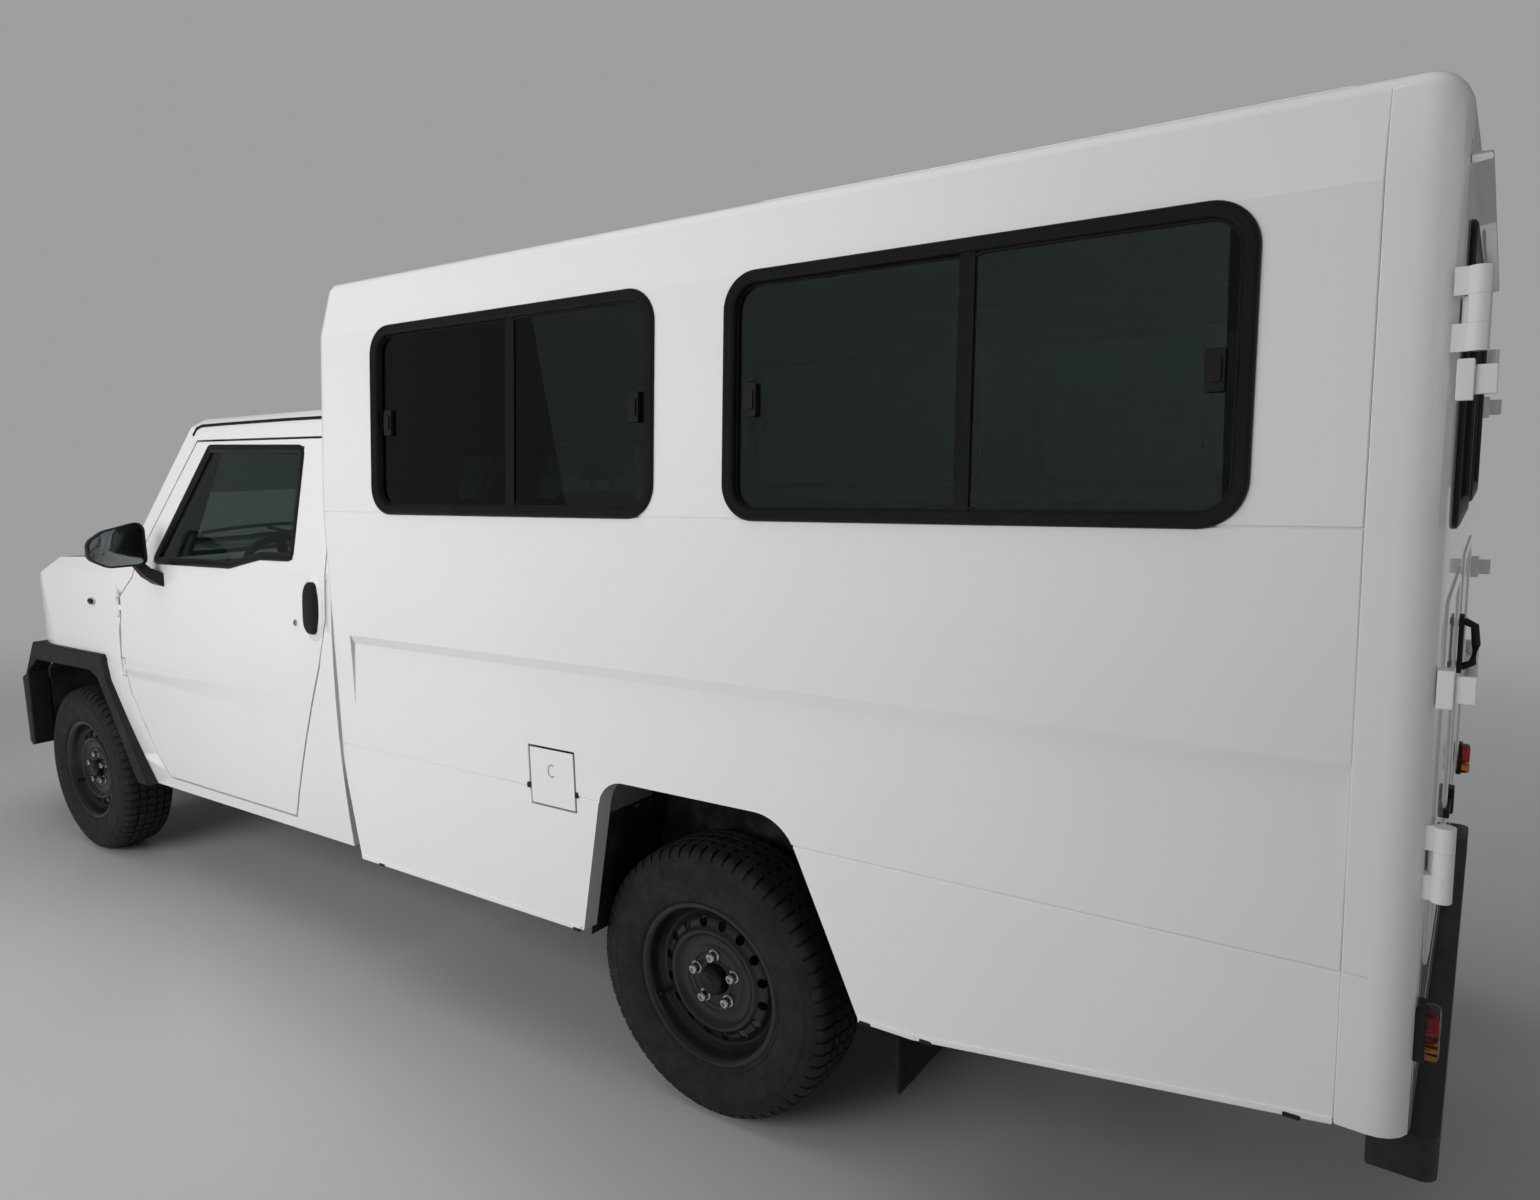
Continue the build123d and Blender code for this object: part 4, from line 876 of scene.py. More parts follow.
mouthCut = loftMesh([[(x, bumperRound["front"] - 8, z) for x, z in mouthPath(2)],
                     [(x, bumperRound["front"] + mouthLook["deep"], z) for x, z in mouthPath(-mouthLook["taper"])]])
fogCuts = []
for mirror in (1, -1):
    plane = cornerPlane(bumperRound, fogLook["turnDeg"])
    rings = [[plane(fogLook["radius"] * scale * math.cos(math.radians(a)),
                    fogLook["z"] + fogLook["radius"] * scale * math.sin(math.radians(a)), out) for a in range(0, 360, 12)]
             for scale, out in ((1.06, 10), (0.94, -fogLook["deep"]))]
    fogCuts.append(loftMesh([[(mirror * x, y, z) for x, y, z in ring] for ring in rings]))
carve(skins["front_bumper"], [mouthCut] + fogCuts)
for name, skin in skins.items():
    if name in ("nose_wings", "bonnet", "front_bumper"):
        # long curved strips: only their own small steps are blended
        smooth(skin, 9.0)
    else:
        smooth(skin, 32.0, even=True)
skins["rear_bumper"].data.materials[0] = finishes["chassisBlack"]
print("seams pressed")

# sill strips, their drain notches and the side's small parts
sillLook = {"tall": 11.0, "out": 3.0, "notch": 26.0}


def sillPieces(side, low, flip):
    strips, notches = [], []
    runs = [((35, 413), (918, 413)), ((1688, 414.5), (1815, 414.5)), ((1815, 415), (2526, 504))]
    for (ya, za), (yb, zb) in runs:
        strips.append(plateMesh([(ya, za - 0.5), (yb, zb - 0.5), (yb, zb + sillLook["tall"]), (ya, za + sillLook["tall"])],
                                sideAt(885), -6, sillLook["out"]))
    for y, z in ((130, 413), (905, 413), (1705, 414.5), (1838, 418), (2470, 497)):
        half = sillLook["notch"] / 2
        notches.append(plateMesh(boxPath(y - half, y + half, z - 3, z + 5, 2.5, 3), sideAt(885), 1, 4))
    piece("sillStrip" + side, *joined(*strips), "bodyPaint", "chassis", "body_paint", edge=1.5, flip=flip)
    piece("sillNotches" + side, *joined(*notches), "blackPlastic", "chassis", "black_plastic", edge=0.6, flip=flip)


bothSides(sillPieces)

# rear wheel arch: black liner with rivets under the painted return
archLook = {"outline": [(-318, 380), (-228, 806), (279, 806), (466, 380)], "radii": [0, 80, 110, 0],
            "inX": 603.0, "outX": 838.0, "sink": 16.0, "rivetGap": 70.0,
            "panel": {"lowZ": 700.0, "endY": 1090.0, "inX": 668.0}}


def archPath(grow):
    (a, b, c, d), g = archLook["outline"], grow
    pts = [(a[0] - g, a[1]), (b[0] - g, b[1] + g), (c[0] + g, c[1] + g), (d[0] + g, d[1])]
    pts = [(rearY + y, z) for y, z in pts]
    return roundPath(pts, [0, 80 + g, 110 + g, 0], 10)


def archPieces(side, low, flip):
    path = archPath(archLook["sink"])
    verts, faces, count = [], [], len(path)
    for x in (archLook["outX"], archLook["inX"]):
        verts += [(x, y, z) for y, z in path]
    faces = [(i, i + 1, count + i + 1, count + i) for i in range(count - 1)]
    faces.append(tuple(range(count, 2 * count)))
    piece("archLiner" + side, verts, faces, "linerBlack", "chassis", "chassis_black", flip=flip)
    rivets, travelled = [], 30.0
    for (y0, z0), (y1, z1) in zip(path, path[1:]):
        length = math.hypot(y1 - y0, z1 - z0)
        while travelled < length:
            t = travelled / length
            y, z = y0 + (y1 - y0) * t, z0 + (z1 - z0) * t
            ny, nz = (z1 - z0) / length, -(y1 - y0) / length
            ring = []
            for reach, radius in ((0.0, 7.5), (1.6, 7.2), (3.2, 4.2), (3.8, 0.6)):
                for k in range(10):
                    w = 2 * math.pi * k / 10
                    ring.append((archLook["outX"] - 14 + radius * math.cos(w),
                                 y + ny * reach + nz * radius * math.sin(w) * -1, z + nz * reach + ny * radius * math.sin(w)))
            sides = [(r * 10 + k, r * 10 + (k + 1) % 10, (r + 1) * 10 + (k + 1) % 10, (r + 1) * 10 + k)
                     for r in range(3) for k in range(10)]
            rivets.append((ring, sides + [tuple(range(30, 40))]))
            travelled += archLook["rivetGap"]
        travelled -= length
    piece("archRivets" + side, *joined(*rivets), "blackPlastic", "chassis", "black_plastic",
          flip=flip, angle=60)
    # the body-painted return in the top front corner, dark grey as painted shade, with a row of studs along its lower
    # edge
    look = archLook["panel"]
    corner = [p for p in archPath(archLook["sink"] - 1.5) if p[0] < look["endY"] and p[1] > look["lowZ"]]
    foot = archPath(archLook["sink"] - 1.5)[0]
    share = (look["lowZ"] - foot[1]) / (corner[0][1] - foot[1])
    low = (foot[0] + (corner[0][0] - foot[0]) * share, look["lowZ"])
    count = len(corner) + 1
    verts = [(x, y, z) for x in (archLook["outX"], look["inX"]) for y, z in [low] + corner]
    faces = [(i, i + 1, count + i + 1, count + i) for i in range(count - 1)]
    piece("archPanel" + side, verts, faces, "archPaint", "chassis", "body_paint", flip=flip, angle=60)
    studs = [tubeMesh([(x, low[0] - 1, look["lowZ"] - 9), (x, low[0] + 3.5, look["lowZ"] - 9)], 5.5, 10)
             for x in range(680, 840, 48)]
    piece("archStuds" + side, *joined(*studs), "zinc", "chassis", "exhaust_steel", flip=flip, angle=40)


bothSides(archPieces)

# front wheelhouse: a dark liner just inside the opening, and the inner wall above the arms
houseLook = {"outline": [(-403, 380), (-383, 742), (-288, 800), (192, 803), (252, 778), (508, 380)], "outX": 797.0,
             "inX": 461.0, "wallLow": 640.0, "sink": 1.2}


def housePieces(side, low, flip):
    look, lift = houseLook, stance["rearAxleY"] - stance["wheelBase"]
    mid = (look["outline"][0][0] + look["outline"][-1][0]) / 2
    path = [(lift + y + math.copysign(look["sink"], mid - y), z - (look["sink"] if z > 500 else 0))
            for y, z in look["outline"]]
    count = len(path)
    verts = [(x, y, z) for x in (look["outX"], look["inX"]) for y, z in path]
    faces = [(i, i + 1, count + i + 1, count + i) for i in range(count - 1)]
    (ya, za), (yb, zb), (yc, zc), (yd, zd) = path[0], path[1], path[-2], path[-1]
    share, tail = (look["wallLow"] - za) / (zb - za), (look["wallLow"] - zd) / (zc - zd)
    wall = [(ya + (yb - ya) * share, look["wallLow"])] + path[1:-1] + [(yd + (yc - yd) * tail, look["wallLow"])]
    inner = [(look["inX"] + 1, y, z) for y, z in wall]
    piece("frontLiner" + side, *joined((verts, faces), (inner, [tuple(range(len(inner)))])), "linerBlack", "chassis",
          "chassis_black", flip=flip)


bothSides(housePieces)

# fuel flap: two hinge nubs and the pressed finger mark, drawn as a thin grey arc of painted shade
nubs = [plateMesh(boxPath(y - 5, y + 5, 747, 761, 3, 3), sideAt(885), -2, 3) for y in (762.5, 926.5)]
piece("fuelNubs", *joined(*nubs), "blackPlastic", "chassis", "black_plastic", edge=1.0)
# the grey arc is painted shade for the finger press
fingerShadeArc = [(844 + 11 * math.cos(math.radians(a)), 800 + 15 * math.sin(math.radians(a))) for a in range(50, 311, 13)]
piece("fuelFingerMark", *loopMesh(fingerShadeArc, [(-2.2, 0), (-1, 1.2), (1, 1.2), (2.2, 0), (0, -0.6)], sideAt(885), closed=False),
      "greyPaint", "fuel_flap", "body_paint", angle=60)
print("box side parts made")

# cab doors: window rubber, pane, handle, lock
doorLook = {"window": [(-1140, 1228), (-636, 1231), (-463, 1264), (-285, 1266), (-287, 1603), (-846, 1618)],
            "radii": [14, 60, 60, 22, 30, 26], "handleY": -166.0, "handleZ": (1050.0, 1208.0)}
doorRubber = [(6.0, -1.0), (5.0, 2.2), (1.0, 3.4), (-8.0, 3.0), (-16.0, 1.5), (-21.0, -2.5), (-21.0, -12.0), (0.0, -14.0)]


def domeMesh(cy, cz, halfY, halfZ, plane, levels, power=2.6, steps=40):
    # a raised pad with a superellipse outline: levels are (scale, out)
    verts, faces = [], []
    for scale, out in levels:
        for k in range(steps):
            a = 2 * math.pi * k / steps
            c, d = math.cos(a), math.sin(a)
            y = cy + halfY * scale * math.copysign(abs(c) ** (2 / power), c)
            z = cz + halfZ * scale * math.copysign(abs(d) ** (2 / power), d)
            verts.append(plane(y, z, out))
    for r in range(len(levels) - 1):
        for k in range(steps):
            m = (k + 1) % steps
            faces.append((r * steps + k, r * steps + m, (r + 1) * steps + m, (r + 1) * steps + k))
    faces.append(tuple(range((len(levels) - 1) * steps, len(levels) * steps)))
    faces.append(tuple(range(steps - 1, -1, -1)))
    return verts, faces


def doorPieces(side, low, flip):
    body = "cab_door_" + low
    path = roundPath(doorLook["window"], doorLook["radii"], 6)
    piece("doorRubber" + side, *loopMesh(path, doorRubber, cabPlane), "glossBlack", body, "black_plastic", flip=flip,
          angle=50)
    piece("doorPane" + side, *plateMesh(path, cabPlane, -11, -7), "cabGlass", body, "dark_glass", flip=flip,
          replaces=["cab_door_glass_" + low])
    z0, z1 = doorLook["handleZ"]
    y, z = doorLook["handleY"], (z0 + z1) / 2
    piece("handleSurround" + side, *domeMesh(y - 2, z, 50, 99, cabPlane, [(1.0, -1), (0.97, 1.5), (0.9, 4), (0.8, 6.5),
          (0.74, 7.5), (0.7, 6.5), (0.66, 1.5)], 2.4), "bodyPaint", body, "body_paint", flip=flip, angle=70)
    piece("handleGrip" + side, *domeMesh(y, z, 30, 77, cabPlane, [(1.0, 1), (1.0, 13), (0.95, 18), (0.85, 22),
          (0.6, 24.5), (0.2, 25)], 3.2), "blackPlastic", body, "black_plastic", flip=flip, angle=60)
    lock = domeMesh(-264.5, 1079, 10, 10, cabPlane, [(1.0, -1), (1.0, 3), (0.85, 4), (0.8, 3.4), (0.2, 3.4)], 2.0, 24)
    slot = plateMesh(boxPath(-265.6, -263.4, 1074, 1084, 1, 2), cabPlane, 3, 4)
    piece("doorLock" + side, *lock, "chrome", body, "body_paint", flip=flip, angle=40)
    piece("doorKeySlot" + side, *slot, "blackPlastic", body, "black_plastic", flip=flip)


bothSides(doorPieces)

# door mirrors: rounded housing open to the rear, glass, arm and foot
mirrorLook = {"outline": [(880, 1224), (1004, 1224), (1064, 1258), (1060, 1318), (1010, 1350), (880, 1378)],
              "radii": [24, 60, 30, 40, 70, 28], "backY": -1085.0, "levels": [(0.915, 7), (0.925, 1), (0.95, -2),
              (0.985, -2), (1.0, 3), (1.0, 12), (0.98, 27), (0.9, 40), (0.76, 48.5), (0.5, 52), (0.15, 53)],
              "footLow": [(-1150, 1150), (-1060, 1144), (-1064, 1194), (-1146, 1206)],
              "footHigh": [(926, -1128, 1236), (930, -1092, 1236), (892, -1092, 1236), (888, -1128, 1236)]}


def crownMesh(path, plane, levels):
    # rings of one outline, each drawn in about the middle: levels are (scale, out)
    cu, cv = (sum(p[k] for p in path) / len(path) for k in (0, 1))
    verts, faces, count = [], [], len(path)
    for scale, out in levels:
        verts += [plane(cu + (u - cu) * scale, cv + (v - cv) * scale, out) for u, v in path]
    for r in range(len(levels) - 1):
        faces += [(r * count + k, r * count + (k + 1) % count, (r + 1) * count + (k + 1) % count, (r + 1) * count + k)
                  for k in range(count)]
    return verts, faces + [tuple(range(count)), tuple(range((len(levels) - 1) * count, len(levels) * count))]


def mirrorPieces(side, low, flip):
    look, body = mirrorLook, "cab_door_" + low
    back = facing(look["backY"], -1)
    path = roundPath(look["outline"], look["radii"], 9)
    piece("mirrorShell" + side, *crownMesh(path, back, look["levels"]), "glossBlack", body, "black_plastic", flip=flip,
          angle=50, replaces=["mirror_" + low])
    # the pane's dark mirror colour is painted shade on its reflection
    piece("mirrorPane" + side, *crownMesh(path, back, [(0.925, 6.5), (0.925, 3.8), (0.91, 3.2)]), "mirrorGlass", body,
          "body_paint", flip=flip, angle=40)
    base = [cabPlane(y, z, -2) for y, z in look["footLow"]]
    mid = [tuple(a + (b - a) * 0.42 + c for a, b, c in zip(p, q, (9, 0, -3))) for p, q in zip(base, look["footHigh"])]
    piece("mirrorFoot" + side, *loftMesh([base, mid, look["footHigh"]]), "blackPlastic", body, "black_plastic",
          flip=flip, edge=6.0, segments=3, edgeAngle=24.0)


bothSides(mirrorPieces)

# side repeaters, drip strips over the doors
def repeaterPieces(side, low, flip):
    rim = [(1.0, -1), (1.0, 2), (0.93, 4), (0.8, 4)]
    lens = [(0.8, 1), (0.8, 5), (0.6, 8), (0.2, 9)]
    piece("repeaterRim" + side, *domeMesh(-1625, 1065, 31, 14, cabPlane, rim, 2.2), "greyPaint", "chassis",
          "black_plastic", flip=flip, angle=50)
    piece("repeaterLens" + side, *domeMesh(-1625, 1065, 30, 13, cabPlane, lens, 2.2), "glossBlack", "chassis",
          "lamp_clear", flip=flip, angle=60)


bothSides(repeaterPieces)


def dripPieces(side, low, flip):
    path = [(-958, 1656), (-940, 1678), (-905, 1686), (-760, 1687), (-400, 1687), (-140, 1685)]
    section = [(-5, -3), (-5, 2.5), (-1.5, 4), (3, 3.5), (5, -3)]
    piece("dripStrip" + side, *loopMesh(path, section, cabPlane, closed=False), "windowRubber", "chassis",
          "window_rubber", flip=flip, angle=50)


bothSides(dripPieces)

# windscreen: pane to a black band laid over the pillars, wipers, rear glass of the cab
screenLook = {"outer": [(-772, 36), (772, 36), (700, 604), (-700, 604)], "inner": [(-640, 84), (640, 84), (622, 548),
              (-622, 548)], "corner": 46.0}
outer, inner = (roundPath(screenLook[k], screenLook["corner"], 8) for k in ("outer", "inner"))
piece("screenBand", *frameMesh(outer, inner, screenPlane, -2, 3), "glossBlack", "chassis", "black_plastic", edge=1.0)
piece("screenRubber", *loopMesh(outer, [(9, -2), (7, 3), (2, 5.5), (-3, 4), (-4, -2)], screenPlane), "windowRubber",
      "chassis", "window_rubber", angle=50)
backFrame, backHole = boxPath(-570, 570, 1280, 1600, 50, 7), boxPath(-536, 536, 1314, 1566, 34, 7)
piece("cabPanes", *joined(plateMesh(inner, screenPlane, -3, 1),
                          plateMesh(backHole, facing(-86, -1), 3, 7)), "cabGlass", "chassis", "dark_glass",
      replaces=["cab_glass"])
piece("cabBackRubber", *frameMesh(backFrame, backHole, facing(-82), -16, 5), "windowRubber", "chassis",
      "window_rubber", edge=3.0)
wipers, blades = [], []
for foot, end in ((-520, 60), (60, 600)):
    a, b = Vector(screenPlane(foot, 8, 14)), Vector(screenPlane((foot + end) / 2, 96, 16))
    wipers += [tubeMesh([a, a.lerp(b, 0.5), b], 6, 8), latheMesh([(-9, 0.1), (-9, 14), (9, 14), (9, 0.1)], 18, a)]
    blades.append(tubeMesh([screenPlane(foot + (end - foot) * t, 60 + 62 * math.sin(math.pi * (0.25 + t * 0.5)) - 6, 9)
                            for t in (0.02, 0.2, 0.4, 0.6, 0.8, 0.98)], 7, 8))
piece("wiperArms", *joined(*wipers), "blackPlastic", "chassis", "black_plastic", angle=50)
piece("wiperBlades", *joined(*blades), "windowRubber", "chassis", "window_rubber", angle=50)
print("cab parts made")

# nose: headlamps, grille, bumper mouth
lampLook = {"sideY": -2.325, "lensThick": 0.004, "tubThick": 0.003, "outward": 0.35, "z": 860.0,
            "bowls": ((27.0, 48.0), (40.0, 38.0)),
            "bowl": [(0.15, -70), (0.6, -64), (1.0, -44), (1.06, -12), (1.0, -10), (0.95, -13), (0.78, -42), (0.45, -56),
                     (0.1, -60)]}


def lampShell(name, keep, thick, finish):
    # part of the lamp block's own faces, as a thin shell
    work = bmesh.new()
    work.from_mesh(nodes["headlamps"].data)
    bmesh.ops.remove_doubles(work, verts=work.verts, dist=2e-5)
    bmesh.ops.bisect_plane(work, geom=work.verts[:] + work.edges[:] + work.faces[:], plane_co=(0, lampLook["sideY"], 0),
                           plane_no=(0, 1, 0))
    bmesh.ops.delete(work, geom=[f for f in work.faces if not keep(f.calc_center_median(), f.normal)], context="FACES")
    mesh = bpy.data.meshes.new(name)
    work.to_mesh(mesh)
    work.free()
    obj = bpy.data.objects.new(name, mesh)
    scene.collection.objects.link(obj)
    mesh.materials.clear()
    mesh.materials.append(finishes[finish])
    mod = obj.modifiers.new("wall", "SOLIDIFY")
    mod.thickness = thick
    mod.offset = -1
    bake(obj)
    smooth(obj, 35.0)
    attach(obj, "chassis")
    return obj


def faceOut(centre, normal):
    # the nose's own skin points forward and outward, the cuts are level or look back and inward
    return abs(normal.z) < 0.9 and (normal.y < -lampLook["outward"] or normal.x * centre.x > 0.6 * abs(centre.x))


lens = lampShell("lampLenses", lambda c, n: faceOut(c, n) and c.y < lampLook["sideY"], lampLook["lensThick"], "lampClear")
lampShell("lampCheeks", lambda c, n: faceOut(c, n) and c.y >= lampLook["sideY"], lampLook["lensThick"], "bodyPaint")
lampShell("lampTubs", lambda c, n: not faceOut(c, n), lampLook["tubThick"], "glossBlack")
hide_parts("headlamps")


def lampPieces(side, low, flip):
    made, bulbs = [], []
    for turnDeg, radius in lampLook["bowls"]:
        plane = cornerPlane(noseRound, turnDeg)
        made.append(domeMesh(0, lampLook["z"], radius, radius, plane, lampLook["bowl"], 2.0, 36))
        bulbs.append(domeMesh(0, lampLook["z"], 9, 9, plane, [(1.0, -62), (1.0, -36), (0.8, -31), (0.3, -29)], 2.0, 16))
    plane = cornerPlane(bumperRound, fogLook["turnDeg"])
    size, z, deep = fogLook["radius"], fogLook["z"], fogLook["deep"]
    bezel = [(1.0, -deep), (1.0, -12), (0.97, -9), (0.9, -9), (0.84, -16), (0.84, -deep)]
    fogBowl = [(0.2, -deep), (0.84, -deep + 1), (0.84, -19), (0.8, -19), (0.5, -deep + 5), (0.1, -deep + 3)]
    piece("fogBezel" + side, *domeMesh(0, z, size, size, plane, bezel, 2.0, 36), "glossBlack", "chassis", "black_plastic",
          flip=flip, angle=50)
    made.append(domeMesh(0, z, size, size, plane, fogBowl, 2.0, 36))
    piece("fogLens" + side, *domeMesh(0, z, size * 0.85, size * 0.85, plane, [(1.0, -17), (1.0, -14), (0.7, -12.5),
          (0.2, -12)], 2.0, 36), "lampClear", "chassis", "lamp_clear", flip=flip, angle=50)
    piece("lampBowls" + side, *joined(*made), "chrome", "chassis", "body_paint", flip=flip, angle=60)
    piece("lampBulbs" + side, *joined(*bulbs), "lampClear", "chassis", "lamp_clear", flip=flip, angle=60)


bothSides(lampPieces)
grilleBars = []
for k in range(4):
    z = 775 + k * 40
    grilleBars.append(cuboidMesh(-470, 470, -2504, -2478, z, z + 13))
grilleRim = frameMesh(boxPath(-488, 488, 747, 929, 22, 5), boxPath(-470, 470, 763, 913, 14, 5), facing(-2478, -1), 0, 27)
grilleBack = cuboidMesh(-480, 480, -2480, -2474, 752, 924)
piece("grilleFace", *joined(*grilleBars, grilleRim, grilleBack), "blackPlastic", "chassis", "black_plastic", edge=2.5,
      replaces=["grille"])
mouthFront = bumperRound["front"]
mouth = [plateMesh(mouthPath(-8), facing(mouthFront), 36, 42)]
mouth += [cuboidMesh(-386, 386, mouthFront + 10, mouthFront + 38, z, z + 9) for z in (499, 528, 557)]
mouth += [cuboidMesh(x - 4, x + 4, mouthFront + 16, mouthFront + 38, 480, 588) for x in (-250, -84, 84, 250)]
piece("bumperMouth", *joined(*mouth), "glossBlack", "chassis", "black_plastic", edge=1.0)
print("nose parts made")

# rear end: door glass and rubber, brackets, latch, gutter, lamps
rearLook = {"glass": (130.0, 690.0, 1410.0, 1850.0), "lamp": (797.0, 842.0, 619.0, 698.0)}


def rearPieces(side, low, flip):
    x0, x1, z0, z1 = rearLook["glass"]
    door, back = "rear_door_" + low, facing(boxRear)
    path = boxPath(x0 - 4, x1 + 4, z0 - 4, z1 + 4, 46, 8)
    rubber = [(6, -1), (5, 5), (0, 8.5), (-8, 8), (-16, 8.2), (-22, 5), (-24, 0), (-24, -28), (-10, -28)]
    piece("rearRubber" + side, *loopMesh(path, rubber, back), "windowRubber", door, "window_rubber", flip=flip, angle=50)
    piece("rearPane" + side, *plateMesh(boxPath(x0, x1, z0, z1, 42, 7), back, -14, -10), "darkGlass", door,
          "dark_glass", flip=flip, replaces=["rear_door_glass_" + low])
    press = [(1, -1), (0, 2.5), (-14, 4.5), (-28, 2.5), (-29, -1)]
    piece("rearPress" + side, *loopMesh(boxPath(110, 690, 690, 1290, 40, 7), press, back), "bodyPaint", door,
          "body_paint", flip=flip, angle=50)
    stays = [joined(cuboidMesh(836, 864, boxRear - 1, boxRear + 20, z - 28, z + 28),
                    cuboidMesh(846, 856, boxRear + 18, boxRear + 46, z - 20, z + 20)) for z in (1617, 1190)]
    piece("doorStays" + side, *joined(*stays), "bodyPaint", "chassis", "body_paint", edge=2.5, flip=flip)
    lx0, lx1, lz0, lz1 = rearLook["lamp"]
    housing = plateMesh(boxPath(lx0 - 3, lx1 + 3, lz0 - 3, lz1 + 3, 7, 4), back, -3, 11)
    piece("lampBase" + side, *housing, "blackPlastic", "chassis", "black_plastic", edge=1.5, flip=flip)
    for tag, za, zb, finish in (("Red", 648, 697, "lampRed"), ("Amber", 620, 646, "lampAmber")):
        lens = domeMesh((lx0 + lx1) / 2, (za + zb) / 2, (lx1 - lx0) / 2, (zb - za) / 2, back,
                        [(1.0, 8), (1.0, 20), (0.96, 25), (0.86, 28.5), (0.6, 30), (0.2, 30.4)], 6.0)
        obj = piece("lamp" + tag + side, *lens, finish, "chassis", "lamp_red", flip=flip, angle=40)
        if tag == "Red" and not flip:
            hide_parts("rear_lamps")


bothSides(rearPieces)
gutter = [(-800, 1914), (-780, 1922), (780, 1922), (800, 1914)]
piece("rainGutter", *loopMesh(gutter, [(-5, -1), (-5, 22), (-2, 24), (2, 23), (5, 4), (5, -1)], facing(boxRear),
      closed=False), "bodyPaint", "chassis", "body_paint", angle=40)
latch = joined(cuboidMesh(8, 150, boxRear - 1, boxRear + 10, 782, 800), cuboidMesh(22, 58, boxRear - 1, boxRear + 14, 764, 818),
               cuboidMesh(10, 44, boxRear - 1, boxRear + 12, 1060, 1180))
piece("rearLatch", *latch, "blackPlastic", "rear_door_left", "black_plastic", edge=2.5)
grip = tubeMesh([(30, boxRear + 11, 1168), (30, boxRear + 30, 1158), (30, boxRear + 34, 1120), (30, boxRear + 30, 1082),
                 (30, boxRear + 11, 1072)], 8, 12)
piece("rearGrip", *grip, "blackPlastic", "rear_door_left", "black_plastic", angle=60)
sideLatch = cuboidMesh(880, 884, boxRear - 90, boxRear - 74, 784, 798)
print("rear parts made")

# seats and bench cushions
padLook = {"voxel": 0.013, "pressure": 4.0, "frames": 20, "cap": 0.011}


def swell(obj, cap):
    # blows the pad up as cloth with gravity off, then keeps each point within the cap
    mod = obj.modifiers.new("cells", "REMESH")
    mod.mode = "VOXEL"
    mod.voxel_size = padLook["voxel"]
    bake(obj)
    start = [v.co.copy() for v in obj.data.vertices]
    cloth = obj.modifiers.new("cloth", "CLOTH")
    cloth.settings.use_pressure = True
    cloth.settings.uniform_pressure_force = padLook["pressure"]
    cloth.settings.effector_weights.gravity = 0
    cloth.settings.quality = 4
    cloth.point_cache.frame_start = 1
    cloth.point_cache.frame_end = padLook["frames"]
    for frameNumber in range(1, padLook["frames"] + 1):
        scene.frame_set(frameNumber)
    bake(obj)
    for vert, first in zip(obj.data.vertices, start):
        move = vert.co - first
        if move.length > cap:
            vert.co = first + move.normalized() * cap
    scene.frame_set(1)


def pad(name, corners, finish, slot, channels=(), depth=6.0, replaces=(), swap=None):
    # corners: eight points of the pad, low ring then high ring, in body millimetres
    middle = sum((Vector(c) for c in corners), Vector()) / 8
    verts = [middle + (Vector(c) - middle) * 1.0 for c in corners]
    faces = [(3, 2, 1, 0), (4, 5, 6, 7)] + [(i, (i + 1) % 4, (i + 1) % 4 + 4, i + 4) for i in range(4)]
    obj = piece(name + "Left", verts, faces, finish, "chassis", slot, edge=16.0, segments=3, angle=180.0)
    swell(obj, padLook["cap"])
    back = tip.inverted()
    for vert in obj.data.vertices:
        place = back @ vert.co
        sink = 0.0
        for axis, spot in channels:
            sink += depth * math.exp(-((place[axis] - spot) / 9.0) ** 2)
        if sink:
            toward = (middle - place).normalized()
            place += toward * sink
            vert.co = tip @ place
    mod = obj.modifiers.new("round", "SUBSURF")
    mod.levels = mod.render_levels = 1
    bake(obj)
    smooth(obj, 180.0)
    twin = bpy.data.objects.new(name + "Right", obj.data.copy())
    scene.collection.objects.link(twin)
    mirroredX(twin.data)
    for one in (obj, twin):
        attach(one, "chassis")
    if replaces:
        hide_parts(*replaces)
    return obj


def padBox(x0, x1, y0, y1, z0, z1, g=10.0):
    ring = [(x0 + g, y0 + g), (x1 - g, y0 + g), (x1 - g, y1 - g), (x0 + g, y1 - g)]
    return [(x, y, z0 + g * 0.4) for x, y in ring] + [(x, y, z1 - g) for x, y in ring]


pad("seatCushion", padBox(165, 655, -829, -299, 802, 920), "seatCloth", "seat_cloth",
    [(0, 235), (0, 585), (1, -470)], replaces=["cab_seats"])
backRing = [((-359, 905), (-219, 905)), ((-244, 1438), (-144, 1438))]
pad("seatBack", [(175, -350, 912), (645, -350, 912), (645, -232, 912), (175, -232, 912),
                 (195, -236, 1430), (625, -236, 1430), (625, -158, 1430), (195, -158, 1430)], "seatCloth", "seat_cloth",
    [(0, 250), (0, 570), (2, 1080)])
pad("seatHead", padBox(300, 520, -239, -154, 1460, 1610, 8), "seatCloth", "seat_cloth", depth=0.0)
benchEnds = (82.0, 2407.0)
thirds = [benchEnds[0] + (benchEnds[1] - benchEnds[0]) * k / 3 for k in range(4)]
for k in range(3):
    y0, y1 = thirds[k] + 2, thirds[k + 1] - 2
    lines = [(1, y0 + (y1 - y0) * t) for t in (0.25, 0.5, 0.75)]
    pad("benchPad" + str(k + 1), padBox(470, 770, y0, y1, 1031, 1112), "benchVinyl", "bench_vinyl", lines,
        replaces=["bench_cushions"] if k == 0 else ())
    pad("benchBack" + str(k + 1), padBox(776, 840, y0, y1, 1120, 1385), "benchVinyl", "bench_vinyl", lines)
seatFrame = []
for sign in (1, -1):
    seatFrame += [cuboidMesh(sign * 195, sign * 225, -790, -320, 600, 800), cuboidMesh(sign * 595, sign * 625, -790, -320, 600, 800),
                  cuboidMesh(sign * 190, sign * 630, -800, -330, 784, 802)]
    seatFrame += [tubeMesh([(sign * x, -196, 1425), (sign * x, -196, 1470)], 6, 10) for x in (356, 464)]
